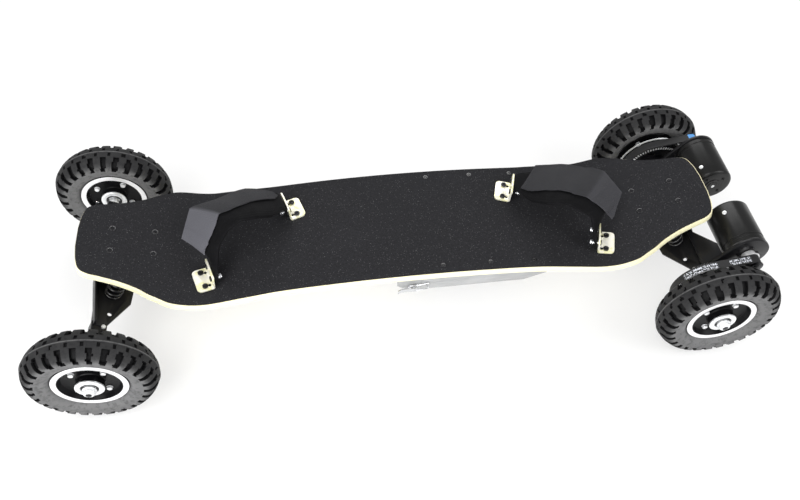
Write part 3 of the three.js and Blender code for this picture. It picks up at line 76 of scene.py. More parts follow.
# ---------------------------------------------------------------- sizes
HALF_BASE = 497
HALF_TRACK = 187
AXLE_HEIGHT = 100
DECK_HALF_LENGTH = 511
DECK_HALF_WIDTH = 116
DECK_THICKNESS = 12
DECK_TOP = 167.2
CAMBER_DROP = 17.5
CAMBER_REACH = 300
BEND_LENGTH = 50
TIP_ANGLE = math.radians(16.4)
GRIP_THICKNESS = 1
GRIP_INSET = 0.7
SEAT_GAP = 0.3
DECK_OUTLINE = (
    (0, 0.947), (0.22, 0.947), (0.413, 0.949), (0.474, 0.962), (0.592, 0.986), (0.691, 1),
    (0.732, 0.976), (0.76, 0.921), (0.79, 0.86), (0.817, 0.789), (0.873, 0.688), (0.93, 0.623),
    (0.96, 0.592), (0.982, 0.53), (0.994, 0.38), (1, 0.16),
)
LEAN = math.radians(30)
KINGPIN_RISE = 28
TRUCK_CENTRE = 431.5
TRUCK_BOLT_X = 64.6
TRUCK_BOLT_Y = 44.4
SPRING_X = -14
SPRING_Y = 44
MOTOR_DIRECTION = math.radians(44)
BELT_CENTRES = 80.6
BELT_PITCH = 5
WHEEL_TEETH = 72
MOTOR_TEETH = 15
TOOTH_DEPTH = 2.1
BELT_BACK = 1.7
BELT_INNER = 132
BELT_WIDTH = 15
MOTOR_X = BELT_CENTRES * math.cos(MOTOR_DIRECTION)
MOTOR_Z = BELT_CENTRES * math.sin(MOTOR_DIRECTION)
WHEEL_TIP = WHEEL_TEETH * BELT_PITCH / math.tau - 0.57
MOTOR_TIP = MOTOR_TEETH * BELT_PITCH / math.tau - 0.57
ENDS = {"nose": -1, "tail": 1}
SIDES = {"near": -1, "far": 1}


# ---------------------------------------------------------------- deck surface
BEND_START = -2 * CAMBER_DROP / CAMBER_REACH
BEND_CURVE = (math.tan(TIP_ANGLE) - BEND_START) / (2 * BEND_LENGTH)


def deck_slope(x):
    """The camber falls towards each end, then a short bend turns up into a flat tip."""
    reach = abs(x)
    if reach <= CAMBER_REACH:
        return BEND_START * reach / CAMBER_REACH
    return BEND_START + 2 * BEND_CURVE * min(reach - CAMBER_REACH, BEND_LENGTH)


def deck_top(x):
    reach = abs(x)
    if reach <= CAMBER_REACH:
        return DECK_TOP - CAMBER_DROP * (reach / CAMBER_REACH) ** 2
    past = min(reach - CAMBER_REACH, BEND_LENGTH)
    beyond = max(0, reach - CAMBER_REACH - BEND_LENGTH)
    height = DECK_TOP - CAMBER_DROP + BEND_START * past + BEND_CURVE * past ** 2
    return height + math.tan(TIP_ANGLE) * beyond


def deck_stretch(x):
    return math.hypot(1, deck_slope(x))


def grip_top(x):
    return deck_top(x) + (SEAT_GAP + GRIP_THICKNESS) * deck_stretch(x)


def smooth_curve(points, crease=0.0):
    """A curve through points that leaves no overshoot: call it with 0 to 1 to get a place on it.

    A crease draws it towards straight lines between the points, more so away from its ends."""
    points = [Vector(p) for p in points]
    padded = [2 * points[0] - points[1], *points, 2 * points[-1] - points[-2]]

    def place(run):
        spot = min(max(run, 0), 1) * (len(points) - 1)
        i = min(int(spot), len(points) - 2)
        a, b, c, d = padded[i:i + 4]
        first, mid, last = ((q - p).length ** 0.5 for p, q in ((a, b), (b, c), (c, d)))
        first, last = first or mid, last or mid
        leave = ((b - a) / first - (c - a) / (first + mid) + (c - b) / mid) * mid
        arrive = ((c - b) / mid - (d - b) / (mid + last) + (d - c) / last) * mid
        t = spot - i
        round_spot = (b + leave * t + (3 * (c - b) - 2 * leave - arrive) * t ** 2
                      + (2 * (b - c) + leave + arrive) * t ** 3)
        return round_spot.lerp(b.lerp(c, t), crease * min(1, max(0, 8 * min(run, 1 - run) - 0.6)))
    return place


# ---------------------------------------------------------------- modelling
def only(obj):
    bpy.ops.object.select_all(action="DESELECT")
    obj.select_set(True)
    bpy.context.view_layer.objects.active = obj
    return obj


def edit(obj):
    """Opens a mesh for editing and gives it with nothing selected in it."""
    only(obj)
    bpy.ops.object.mode_set(mode="EDIT")
    bpy.ops.mesh.select_all(action="DESELECT")
    return bmesh.from_edit_mesh(obj.data)


def close(obj):
    bpy.ops.object.mode_set(mode="OBJECT")
    return obj


def pick(obj, shape, faces):
    for face in faces:
        face.select_set(True)
    shape.select_flush(True)
    bmesh.update_edit_mesh(obj.data)


def modified(obj, kind, **settings):
    only(obj)
    modifier = obj.modifiers.new(kind.title(), kind)
    for name, value in settings.items():
        setattr(modifier, name, value)
    bpy.ops.object.modifier_apply(modifier=modifier.name)
    return obj


def eased(obj, edge, segments=2, angle=35):
    """Rounds the sharp edges of a piece."""
    if edge:
        modified(obj, "BEVEL", width=edge * MM, segments=segments, limit_method="ANGLE",
                 angle_limit=math.radians(angle), use_clamp_overlap=True)
    return obj


def smooth(obj, angle=32):
    only(obj)
    bpy.ops.object.shade_smooth_by_angle(angle=math.radians(angle))
    return obj


def outward(obj):
    edit(obj)
    bpy.ops.mesh.select_all(action="SELECT")
    bpy.ops.mesh.remove_doubles(threshold=1e-6)
    bpy.ops.mesh.normals_make_consistent(inside=False)
    return close(obj)


def turned(profile, steps=64, ring=False, centre=(0, 0, 0), axis=(0, 1, 0)):
    """Spins a line of radius and height about an axis. A ring's line comes back to its start."""
    axis = Vector(axis).normalized()
    centre = Vector(centre)
    out = axis.orthogonal().normalized()
    closing = profile[:1] if ring else ()
    line = [(centre + out * r + axis * h) * MM for r, h in (*profile, *closing)]
    bpy.ops.mesh.primitive_plane_add(size=MM)
    obj = bpy.context.object
    bpy.ops.object.mode_set(mode="EDIT")
    bpy.ops.mesh.select_all(action="SELECT")
    bpy.ops.mesh.merge(type="CENTER")
    bpy.ops.transform.translate(value=line[0])
    for here, there in zip(line, line[1:]):
        bpy.ops.mesh.extrude_region_move(TRANSFORM_OT_translate={"value": there - here})
    bpy.ops.mesh.select_all(action="SELECT")
    bpy.ops.mesh.spin(steps=steps, angle=math.tau, center=centre * MM, axis=axis)
    return outward(close(obj))


def block(low, high, edge=0.6, segments=2):
    low, high = Vector(low), Vector(high)
    bpy.ops.mesh.primitive_cube_add(size=1)
    obj = bpy.context.object
    obj.data.transform(Matrix.Translation((low + high) / 2 * MM)
                       @ Matrix.Diagonal((*((high - low) * MM), 1)))
    return eased(obj, edge, segments)


def bar(start, end, radius, sides=32, edge=0.4, segments=2):
    """A round or many-sided bar between two places."""
    start, end = Vector(start), Vector(end)
    along = end - start
    bpy.ops.mesh.primitive_cylinder_add(vertices=sides, radius=radius * MM, depth=along.length * MM)
    obj = bpy.context.object
    obj.data.transform(Matrix.Translation((start + end) / 2 * MM)
                       @ along.to_track_quat("Z", "Y").to_matrix().to_4x4())
    return eased(obj, edge, segments)


def cross_bar(x, z, start, end, radius, sides=32, edge=0.4):
    """A bar along y."""
    return bar((x, start, z), (x, end, z), radius, sides, edge)


def plate(points, low, high, edge=0.5, facing="Z"):
    """A flat outline drawn out from low to high: in x and z when it faces Y, in y and z for X."""
    bpy.ops.mesh.primitive_circle_add(vertices=len(points), radius=MM, fill_type="NGON")
    obj = bpy.context.object
    for vertex, (a, b) in zip(obj.data.vertices, points):
        spot = {"Z": (a, b, low), "Y": (a, low, b), "X": (low, a, b)}[facing]
        vertex.co = Vector(spot) * MM
    edit(obj)
    bpy.ops.mesh.select_all(action="SELECT")
    away = Vector([axis == facing for axis in "XYZ"]) * (high - low) * MM
    bpy.ops.mesh.extrude_region_move(TRANSFORM_OT_translate={"value": away})
    bpy.ops.mesh.select_all(action="SELECT")
    bpy.ops.mesh.normals_make_consistent(inside=False)
    return eased(close(obj), edge)


def lofted(rings):
    """A closed skin through rings of points, each as long as the next, built by extruding."""
    count = len(rings[0])
    bpy.ops.mesh.primitive_circle_add(vertices=count, radius=MM, fill_type="NGON")
    obj = bpy.context.object
    for vertex, spot in zip(obj.data.vertices, rings[0]):
        vertex.co = Vector(spot) * MM
    shape = edit(obj)
    bpy.ops.mesh.select_all(action="SELECT")
    order = {vertex.index: i for i, vertex in enumerate(shape.verts)}
    for ring in rings[1:]:
        bpy.ops.mesh.extrude_region_move(TRANSFORM_OT_translate={"value": (0, 0, MM)})
        shape = bmesh.from_edit_mesh(obj.data)
        shape.verts.ensure_lookup_table()
        shape.verts.index_update()
        fresh = {}
        for vertex in shape.verts:
            if vertex.select:
                old = next(e.other_vert(vertex) for e in vertex.link_edges
                           if not e.other_vert(vertex).select)
                fresh[vertex.index] = order[old.index]
                vertex.co = Vector(ring[order[old.index]]) * MM
        order = fresh
        bmesh.update_edit_mesh(obj.data)
    bpy.ops.mesh.select_all(action="SELECT")
    bpy.ops.mesh.normals_make_consistent(inside=False)
    return close(obj)


def rings_of(obj, rings):
    """For each vertex of a lofted piece, its ring and its place in that ring."""
    size = len(rings[0])
    tree = KDTree(size * len(rings))
    for i, ring in enumerate(rings):
        for j, spot in enumerate(ring):
            tree.insert(Vector(spot) * MM, i * size + j)
    tree.balance()
    return [divmod(tree.find(vertex.co)[1], size) for vertex in obj.data.vertices]


def wire(points, radius, sides=12):
    """A round wire along points."""
    bpy.ops.curve.primitive_nurbs_path_add()
    obj = bpy.context.object
    curve = obj.data
    curve.splines.clear()
    line = curve.splines.new("POLY")
    line.points.add(len(points) - 1)
    for point, spot in zip(line.points, points):
        point.co = (*(Vector(spot) * MM), 1)
    curve.dimensions = "3D"
    curve.bevel_depth = radius * MM
    curve.bevel_resolution = max(1, sides // 4 - 1)
    curve.use_fill_caps = True
    only(obj)
    bpy.ops.object.convert(target="MESH")
    return outward(bpy.context.object)


def pierced(obj, *cutters):
    """Cuts holes, then throws the cutters away."""
    for cutter in cutters:
        modified(obj, "BOOLEAN", operation="DIFFERENCE", solver="EXACT", object=cutter)
        bpy.data.objects.remove(cutter, do_unlink=True)
    return obj


def together(*parts):
    bpy.ops.object.select_all(action="DESELECT")
    for part in parts:
        part.select_set(True)
    bpy.context.view_layer.objects.active = parts[0]
    if len(parts) > 1:
        bpy.ops.object.join()
    return bpy.context.object


def another(obj):
    """A copy with a mesh of its own."""
    twin = obj.copy()
    twin.data = obj.data.copy()
    bpy.context.collection.objects.link(twin)
    return twin


def moved(obj, matrix):
    obj.data.transform(matrix)
    if matrix.determinant() < 0:
        outward(obj)
    return obj


def shifted(x, y, z):
    return Matrix.Translation(Vector((x, y, z)) * MM)


def laid_in(obj, name, body, slot, finish, *nodes, angle=32):
    """Names a piece, gives it its finish, and ties it to the frame."""
    obj.name = name
    obj.data.name = name
    smooth(obj, angle)
    obj.data.materials.clear()
    obj.data.materials.append(finish)
    if body:
        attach(obj, body)
    nodes = [node for node in nodes if node]
    if nodes:
        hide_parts(*nodes)
    return obj


def lay_all(place, tag, *rows):
    """Makes pieces, moves them to their place and lays them in; the tag ends their names."""
    for make, name, body, slot, finish, node in rows:
        laid_in(moved(make(), place), f"{name}_{tag}", body, slot, finish, node)


def arc(cx, cy, radius, start, end, steps):
    return [(cx + radius * math.cos(start + (end - start) * i / steps),
             cy + radius * math.sin(start + (end - start) * i / steps)) for i in range(steps + 1)]


def around(count, radius, start=0.0):
    """Places spread evenly on a circle about the origin."""
    return arc(0, 0, radius, start, start + math.tau, count)[:-1]


def rounded(x0, x1, y0, y1, radius, steps=6):
    quarter = math.pi / 2
    return [*arc(x1 - radius, y1 - radius, radius, 0, quarter, steps),
            *arc(x0 + radius, y1 - radius, radius, quarter, 2 * quarter, steps),
            *arc(x0 + radius, y0 + radius, radius, 2 * quarter, 3 * quarter, steps),
            *arc(x1 - radius, y0 + radius, radius, 3 * quarter, 4 * quarter, steps)]


def socket_screw(place, axis, radius, height, socket=0.5, depth=0.6, sides=24):
    """A screw head with a sunk socket, standing on a place along an axis."""
    place, axis = Vector(place), Vector(axis).normalized()
    head = bar(place, place + axis * height, radius, sides, 0)
    shape = edit(head)
    tops = [f for f in shape.faces if f.normal.dot(axis) > 0.9 and len(f.verts) == sides]
    pick(head, shape, tops)
    bpy.ops.mesh.inset(thickness=radius * 0.16 * MM, depth=0)
    bpy.ops.mesh.inset(thickness=radius * (0.84 - socket) * MM, depth=radius * 0.05 * MM)
    bpy.ops.mesh.inset(thickness=radius * 0.03 * MM, depth=-height * depth * MM)
    return eased(close(head), radius * 0.07, 1, 50)


def hex_nut(start, end, radius, collar=True):
    """A lock nut with eased corners, a washer face and a collar towards its outer end."""
    start, end = Vector(start), Vector(end)
    along = (end - start).normalized()
    depth = (end - start).length
    parts = [bar(start + along * 0.6, start + along * depth * (0.74 if collar else 1), radius, 6,
                 radius * 0.09, 2),
             bar(start, start + along * 1.0, radius * 1.02, 32, 0.3)]
    if collar:
        parts.append(bar(start + along * depth * 0.7, end, radius * 0.8, 32, radius * 0.12, 3))
    return together(*parts)


# ---------------------------------------------------------------- finishes
class Value:
    """A number that varies over a surface; the usual operators add the shader's own maths."""

    def __init__(self, finish, socket):
        self.finish, self.socket = finish, socket

    def maths(self, operation, *others):
        return self.finish.node("ShaderNodeMath", {"operation": operation},
                                dict(enumerate((self, *others))))

    def __add__(self, other): return self.maths("ADD", other)
    def __sub__(self, other): return self.maths("SUBTRACT", other)
    def __mul__(self, other): return self.maths("MULTIPLY", other)
    def __truediv__(self, other): return self.maths("DIVIDE", other)
    def __rsub__(self, other): return self.finish.lift(other).maths("SUBTRACT", self)
    __radd__, __rmul__ = __add__, __mul__

    def sine(self): return self.maths("SINE")
    def size(self): return self.maths("ABSOLUTE")
    def part(self): return self.maths("FRACT")
    def over(self, other): return self.maths("GREATER_THAN", other)
    def most(self, other): return self.maths("MAXIMUM", other)
    def least(self, other): return self.maths("MINIMUM", other)

    def between(self, low, high):
        """0 below low, 1 above high, and smooth between them."""
        return self.finish.node("ShaderNodeMapRange", {"interpolation_type": "SMOOTHSTEP"},
                                {"Value": self, "From Min": low, "From Max": high})


class Finish:
    """A material that is made of procedural nodes."""

    def __init__(self, name):
        self.material = bpy.data.materials.new(name)
        self.material.use_nodes = True
        self.tree = self.material.node_tree
        self.surface = self.tree.nodes["Principled BSDF"]

    def node(self, kind, settings=None, inputs=None, out=0):
        added = self.tree.nodes.new(kind)
        for name, value in (settings or {}).items():
            if name == "stops":
                ramp = added.color_ramp
                while len(ramp.elements) < len(value):
                    ramp.elements.new(0.5)
                for stop, (spot, colour) in zip(ramp.elements, value):
                    stop.position, stop.color = spot, (*colour, 1)
            else:
                setattr(added, name, value)
        for name, value in (inputs or {}).items():
            self.join(added.inputs[name], value)
        return Value(self, added.outputs[out])

    def join(self, socket, value):
        if isinstance(value, Value):
            self.tree.links.new(value.socket, socket)
        elif isinstance(value, tuple) and len(value) == 3 and len(socket.default_value) == 4:
            socket.default_value = (*value, 1)
        else:
            socket.default_value = value

    def lift(self, number):
        return self.node("ShaderNodeMath", {"operation": "ADD"}, {0: number, 1: 0.0})

    def place(self):
        """Places on the piece, in metres."""
        return self.node("ShaderNodeTexCoord", out="Object")

    def axes(self, place=None):
        parts = self.node("ShaderNodeSeparateXYZ", None, {0: place or self.place()})
        return [Value(self, parts.socket.node.outputs[i]) for i in range(3)]

    def joined(self, x=0.0, y=0.0, z=0.0):
        return self.node("ShaderNodeCombineXYZ", None, {0: x, 1: y, 2: z})

    def stretched(self, x=1.0, y=1.0, z=1.0, place=None):
        return self.node("ShaderNodeMapping", None, {"Vector": place or self.place(),
                                                     "Scale": (x, y, z)})

    def noise(self, scale, detail=2.0, rough=0.5, place=None):
        return self.node("ShaderNodeTexNoise", None, {
            "Vector": place or self.place(), "Scale": scale, "Detail": detail, "Roughness": rough})

    def cells(self, scale, out="Distance"):
        inputs = {"Vector": self.place(), "Scale": scale}
        return self.node("ShaderNodeTexVoronoi", None, inputs, out)

    def carried(self, name):
        """A number that the mesh carries for each of its vertices."""
        return self.node("ShaderNodeAttribute", {"attribute_name": name}, out="Fac")

    def blend(self, share, first, second):
        mixed = self.node("ShaderNodeMix", {"data_type": "RGBA"}, {0: share})
        self.join(mixed.socket.node.inputs[6], first)
        self.join(mixed.socket.node.inputs[7], second)
        return Value(self, mixed.socket.node.outputs[2])

    def bumped(self, height, strength, distance):
        return self.node("ShaderNodeBump", None, {
            "Height": height, "Strength": strength, "Distance": distance * MM})

    def done(self, **sockets):
        for name, value in sockets.items():
            self.join(self.surface.inputs[name.replace("_", " ")], value)
        return self.material


def scaled(colour, times, more=0.0):
    return tuple(min(1, c * times + more) for c in colour)


def speckled(name, dark, light):
    """Grit bonded on tape: dense dark grains, a few of them catching the light."""
    f = Finish(name)
    grain = f.noise(900, 3, 0.7)
    chance = f.axes(f.cells(900, out="Color"))[0]
    bright = chance.between(0.93, 0.99) * f.cells(900).between(0.52, 0.2)
    worn = f.noise(9, 4, 0.6).between(0.45, 0.75)
    base = f.blend(grain.between(0.3, 0.75), dark, scaled(dark, 1.9))
    base = f.blend(f.noise(380, 2, 0.6).between(0.3, 0.7) * 0.5, base, scaled(dark, 0.55))
    base = f.blend(worn * 0.16, base, scaled(dark, 2.4))
    return f.done(Base_Color=f.blend(bright * 0.35, base, light), Roughness=0.95 - bright * 0.25,
                  Normal=f.bumped(grain + f.cells(900) * 0.6, 0.5, 0.25), Specular_IOR_Level=0.2)


def painted(name, colour, rough, metal=0.0, peel=260, depth=0.12, dust=0.1, coat=0.0, shine=0.5):
    """Powder coat or moulded skin: orange peel, faint dust and a few worn patches."""
    f = Finish(name)
    skin = f.noise(peel, 3, 0.55)
    patches = f.noise(14, 4, 0.6).between(0.35, 0.75)
    specks = f.noise(420, 2, 0.8).between(0.66, 0.74)
    base = f.blend(patches * 0.35, colour, scaled(colour, 1.9, 0.004))
    base = f.blend(specks * dust, base, scaled(colour, 1, 0.16))
    return f.done(Base_Color=base, Roughness=rough + (patches - 0.5) * 0.14 + specks * 0.08,
                  Metallic=metal, Coat_Weight=coat, Coat_Roughness=0.12, Specular_IOR_Level=shine,
                  Normal=f.bumped(skin, 0.4, depth))


def metal(name, colour, rough, wear=0.25):
    """Machined or plated metal, stained here and there."""
    f = Finish(name)
    marks = f.noise(1.0, 4, 0.6, f.stretched(420, 420, 420))
    stain = f.noise(46, 4, 0.65).between(0.4, 0.8)
    return f.done(Base_Color=f.blend(stain * wear, colour, scaled(colour, 0.72)), Metallic=1.0,
                  Roughness=rough + stain * 0.12 + (marks - 0.5) * 0.16,
                  Normal=f.bumped(marks, 0.25, 0.05))


def ply(name):
    """Maple layers that show at the edge, and long grain on the faces."""
    f = Finish(name)
    depth = f.carried("depth")
    layer = (depth / DECK_THICKNESS * 7).part()
    seam = ((layer - 0.5).size()).between(0.40, 0.49)
    cross = (depth / DECK_THICKNESS * 3.5).part().between(0.48, 0.52)
    grain = f.noise(1.0, 4, 0.6, f.stretched(30, 420, 420))
    pores = f.noise(1.0, 2, 0.6, f.stretched(160, 1500, 1500)).between(0.55, 0.8)
    tone = f.blend(cross, (0.93, 0.90, 0.62), (0.87, 0.82, 0.50))
    tone = f.blend(grain.between(0.35, 0.7) * 0.4, tone, (0.95, 0.90, 0.66))
    tone = f.blend(seam * 0.3, tone, (0.62, 0.48, 0.25))
    tone = f.blend(pores * 0.15, tone, (0.60, 0.48, 0.28))
    return f.done(Base_Color=tone, Roughness=0.42 + pores * 0.2, Coat_Weight=0.3,
                  Coat_Roughness=0.2, Normal=f.bumped(grain + seam * -0.8, 0.3, 0.15))


def rubber(name, colour, rough=0.62, dust=0.35):
    """Rubber with dust and a fine mould texture."""
    f = Finish(name)
    fine = f.noise(700, 3, 0.6)
    cloud = f.noise(22, 5, 0.65).between(0.35, 0.8)
    base = f.blend(cloud * dust, colour, scaled(colour, 2.3, 0.01))
    base = f.blend(fine.between(0.62, 0.8) * 0.2, base, scaled(colour, 3.2))
    return f.done(Base_Color=base, Roughness=rough + (cloud - 0.5) * 0.16,
                  Normal=f.bumped(fine, 0.35, 0.12))


def tyre_rubber(name):
    """Tyre: grooves painted black as shade, a dark tread and a wall painted paler as a satin sheen; the mesh
    carries this painted light and shade.
    """
    f = Finish(name)
    shade = f.carried("shade")
    fine = f.noise(700, 3, 0.6)
    cloud = f.noise(26, 5, 0.7).between(0.3, 0.8)
    grime = f.noise(130, 3, 0.7).between(0.45, 0.75)
    # Ramp of the painted light and shade: black for painted shade in the notches, pale grey for painted
    # sheen on the wall.
    base = f.node("ShaderNodeValToRGB", {"stops": [
        (0.0, (0.003, 0.003, 0.0035)), (0.3, (0.015, 0.015, 0.016)), (0.5, (0.035, 0.035, 0.036)),
        (0.75, (0.085, 0.085, 0.086)), (1.0, (0.14, 0.14, 0.142))]}, {0: shade})
    base = f.blend(cloud * 0.35 * shade, base, (0.12, 0.118, 0.115))
    base = f.blend(grime * 0.55, base, (0.010, 0.010, 0.011))
    return f.done(Base_Color=base, Roughness=0.66 - shade * 0.14 + (cloud - 0.5) * 0.12,
                  Specular_IOR_Level=0.14, Normal=f.bumped(fine + grime * 0.5, 0.4, 0.16))


def printed_rubber(name, colour):
    """Belt rubber: rows of worn strokes on the near belt's back, a blue patch on the far one's."""
    f = Finish(name)
    run = f.carried("run")
    y = f.axes()[1]
    over = y.size() / MM - BELT_INNER
    row = (over - 5).size().least((over - 10.4).size())
    line = 1 - row.between(1.8, 2.3)
    bits = f.noise(1.0, 1, 0.5, f.joined(run * 0.5, over * 0.3, 0.0)).between(0.47, 0.53)
    wear = f.noise(500, 3, 0.8).between(0.3, 0.5)
    patch = run.between(340, 342) * (1 - run.between(374, 376))
    second = (1 - run.between(44, 48)).most(run.between(394, 396)) * (1 - run.between(402, 402.5))
    blue = (run.over(328) * (1 - run.over(341)) * over.over(4) * y.over(0)) * 0.9
    fine = f.noise(700, 3, 0.6)
    base = f.blend(fine.between(0.5, 0.8) * 0.3, colour, scaled(colour, 2.5))
    strokes = (patch + second) * line * bits * wear * (1 - y.over(0))
    base = f.blend(strokes, base, (0.80, 0.83, 0.90))
    base = f.blend(blue, base, (0.12, 0.38, 0.82))
    return f.done(Base_Color=base, Roughness=0.6, Normal=f.bumped(fine, 0.3, 0.1))


def bright(name, colour, rough):
    """Pale plated or turned metal that scatters much of the light."""
    f = Finish(name)
    marks = f.noise(1.0, 4, 0.6, f.stretched(520, 520, 520))
    stain = f.noise(46, 4, 0.65).between(0.5, 0.85)
    return f.done(Base_Color=f.blend(stain * 0.12, colour, scaled(colour, 0.7)), Metallic=0.55,
                  Roughness=rough + stain * 0.1 + (marks - 0.5) * 0.12,
                  Normal=f.bumped(marks, 0.15, 0.04))


def zinc(name):
    """Yellow passivated plate: a pale metal skin whose tint drifts."""
    f = Finish(name)
    drift = f.noise(55, 4, 0.7)
    fine = f.noise(600, 2, 0.6)
    tint = f.node("ShaderNodeValToRGB", {"stops": [
        (0.36, (0.97, 0.95, 0.88)), (0.50, (0.97, 0.94, 0.80)), (0.60, (0.93, 0.90, 0.50)),
        (0.70, (0.97, 0.93, 0.82))]}, {0: drift})
    worn = f.noise(140, 3, 0.6).between(0.62, 0.78)
    return f.done(Base_Color=f.blend(worn * 0.25, tint, (0.62, 0.57, 0.40)), Metallic=0.4,
                  Roughness=0.30 + fine * 0.1 + worn * 0.15, Normal=f.bumped(fine, 0.2, 0.05))


def woven(name, dark, light, sheen):
    """Plain weave that follows the piece: its map is in metres, along and across. One panel is painted paler
    as painted light.
    """
    pitch = 1.5
    f = Finish(name)
    spot = f.node("ShaderNodeUVMap", {"uv_map": "cloth"})
    u, v, _ = f.axes(spot)
    wobble = (f.noise(220, 2, 0.5, spot) - 0.5) * 0.5
    along = (u * (math.pi / pitch / MM) + wobble).sine()
    across = (v * (math.pi / pitch / MM) + wobble).sine()
    over = (along * across).between(-0.1, 0.1)
    thread = over * (1 - across * across) + (1 - over) * (1 - along * along)
    fibre = f.noise(1.0, 2, 0.7, f.stretched(3800, 1200, 1, spot))
    cloud = f.noise(20, 4, 0.6, spot)
    base = f.blend(1 - thread * 0.85, light, dark)
    base = f.blend(fibre.between(0.55, 0.8) * 0.25, base, scaled(light, 1.8))
    base = f.blend(cloud.between(0.4, 0.8) * 0.2, base, dark)
    # The band's panel before its fold is painted paler grey: painted light on the side of the fold that
    # faces the lamps.
    faded = f.carried("faded")
    base = f.blend(faded * (0.5 + thread * 0.5), base, (0.14, 0.14, 0.16))
    return f.done(Base_Color=base, Roughness=0.8 + fibre * 0.1, Sheen_Weight=sheen,
                  Sheen_Roughness=0.4, Specular_IOR_Level=0.2,
                  Normal=f.bumped(thread + fibre * 0.2, 0.7, 0.3))


def knitted(name, dark, light):
    """Soft black facing of the straps: fine knit with lint, paler in patches."""
    f = Finish(name)
    spot = f.node("ShaderNodeUVMap", {"uv_map": "cloth"})
    u, v, _ = f.axes(spot)
    turns = math.tau / 1.3 / MM
    rows = (u * turns).sine() * 0.5 + 0.5
    stitch = ((v * turns) + rows * 1.2).sine() * 0.5 + 0.5
    knit = rows * stitch
    lint = f.noise(520, 2, 0.8, spot).between(0.64, 0.74)
    cloud = f.noise(26, 4, 0.6, spot).between(0.35, 0.8)
    base = f.blend(knit * 0.7, dark, light)
    base = f.blend(cloud * 0.3, base, scaled(light, 1.7))
    base = f.blend(lint * 0.15, base, (0.16, 0.16, 0.17))
    return f.done(Base_Color=base, Roughness=0.75, Sheen_Weight=0.02, Sheen_Roughness=0.4,
                  Specular_IOR_Level=0.08, Normal=f.bumped(knit, 0.5, 0.18))


GRIP = speckled("grip_grit", (0.014, 0.014, 0.0158), (0.40, 0.40, 0.41))
WOOD = ply("maple_ply")
TRUCK_PAINT = painted("truck_powder_coat", (0.007, 0.007, 0.008), 0.36, dust=0.05, shine=0.3)
RIM_PLASTIC = painted("rim_gloss_black", (0.003, 0.003, 0.0035), 0.3, peel=90, depth=0.05,
                      dust=0.01, shine=0.1)
HUB_SEAL = painted("hub_seal_black", (0.012, 0.012, 0.013), 0.5, dust=0.05)
RING_METAL = bright("rim_ring_aluminium", (0.90, 0.90, 0.91), 0.34)
BRIGHT = bright("bright_zinc_plate", (0.84, 0.85, 0.86), 0.3)
STEEL = metal("bright_steel", (0.74, 0.75, 0.77), 0.24)
DARK_STEEL = metal("black_oxide", (0.045, 0.045, 0.048), 0.32, wear=0.4)
SPRING_BLACK = painted("spring_black_coat", (0.009, 0.009, 0.010), 0.28, peel=500, depth=0.05,
                       dust=0.04, coat=0.2)
ZINC = zinc("yellow_zinc_plate")
BAND_WEAVE = woven("strap_webbing", (0.014, 0.014, 0.016), (0.044, 0.044, 0.049), 0.05)
PAD_CLOTH = knitted("strap_facing", (0.0025, 0.0025, 0.003), (0.008, 0.008, 0.009))
CASE_PAINT = painted("case_silver_paint", (0.34, 0.345, 0.35), 0.4, metal=0.2, peel=500, depth=0.04,
                     dust=0.06, coat=0.2)
TYRE = tyre_rubber("tyre_rubber")
BELT = printed_rubber("belt_rubber", (0.012, 0.012, 0.013))
PULLEY = painted("pulley_nylon", (0.005, 0.005, 0.006), 0.42, peel=320, depth=0.06,
                 dust=0.03, shine=0.12)
MOTOR_SKIN = painted("motor_anodised_black", (0.006, 0.006, 0.006), 0.36, peel=700, depth=0.04,
                     dust=0.02, shine=0.3)
BUSH = rubber("bushing_urethane", (0.03, 0.03, 0.032), 0.45, dust=0.1)
PORT_PLASTIC = painted("port_plastic", (0.016, 0.016, 0.017), 0.5)
PACK_WRAP = painted("battery_wrap", (0.024, 0.11, 0.39), 0.45, peel=80, depth=0.2)
CONTROLLER = metal("controller_aluminium", (0.62, 0.63, 0.65), 0.4)


# ---------------------------------------------------------------- camera, floor and light
CAMERA_PLACE = (-126.10, -779.26, 1124.71)
CAMERA_AHEAD = (0.09547961, 0.59965964, -0.79453884)
CAMERA_ROLL = 0.035
CAMERA_LENS = 33.757


def add_camera():
    ahead = Vector(CAMERA_AHEAD).normalized()
    right = ahead.cross(Vector((0, 0, 1))).normalized()
    up = right.cross(ahead)
    turn, lift = math.cos(CAMERA_ROLL), math.sin(CAMERA_ROLL)
    right, up = right * turn + up * lift, up * turn - right * lift
    data = bpy.data.cameras.new("photo_view")
    data.lens = CAMERA_LENS
    data.sensor_width = 36
    data.clip_start, data.clip_end = 0.02, 60
    camera = bpy.data.objects.new("photo_view", data)
    matrix = Matrix((right, up, -ahead)).transposed().to_4x4()
    matrix.translation = Vector(CAMERA_PLACE) * MM
    camera.matrix_world = matrix
    bpy.context.collection.objects.link(camera)
    bpy.context.scene.camera = camera


def add_floor():
    bpy.ops.mesh.primitive_plane_add(size=40)
    floor = bpy.context.object
    floor.name = floor.data.name = "floor"
    f = Finish("white_floor")
    f.done(Base_Color=(0.92, 0.92, 0.92), Roughness=0.9)
    glow = f.node("ShaderNodeEmission", None, {"Color": (1.0, 1.0, 1.0), "Strength": 1.0})
    path = f.node("ShaderNodeLightPath", out="Is Camera Ray")
    output = next(n for n in f.tree.nodes if n.type == "OUTPUT_MATERIAL")
    glossy = Value(f, path.socket.node.outputs["Is Glossy Ray"])
    mixed = f.node("ShaderNodeMixShader", None, {0: path.most(glossy) * FLOOR_GLOW})
    f.tree.links.new(f.surface.outputs[0], mixed.socket.node.inputs[1])
    f.tree.links.new(glow.socket, mixed.socket.node.inputs[2])
    f.tree.links.new(mixed.socket, output.inputs[0])
    floor.data.materials.append(f.material)


def add_lamp(name, place, aim, size, power):
    data = bpy.data.lights.new(name, "AREA")
    data.shape = "RECTANGLE"
    data.size, data.size_y = size
    data.energy = power
    lamp = bpy.data.objects.new(name, data)
    lamp.location = place
    lamp.rotation_euler = (Vector(aim) - Vector(place)).to_track_quat("-Z", "Y").to_euler()
    bpy.context.collection.objects.link(lamp)


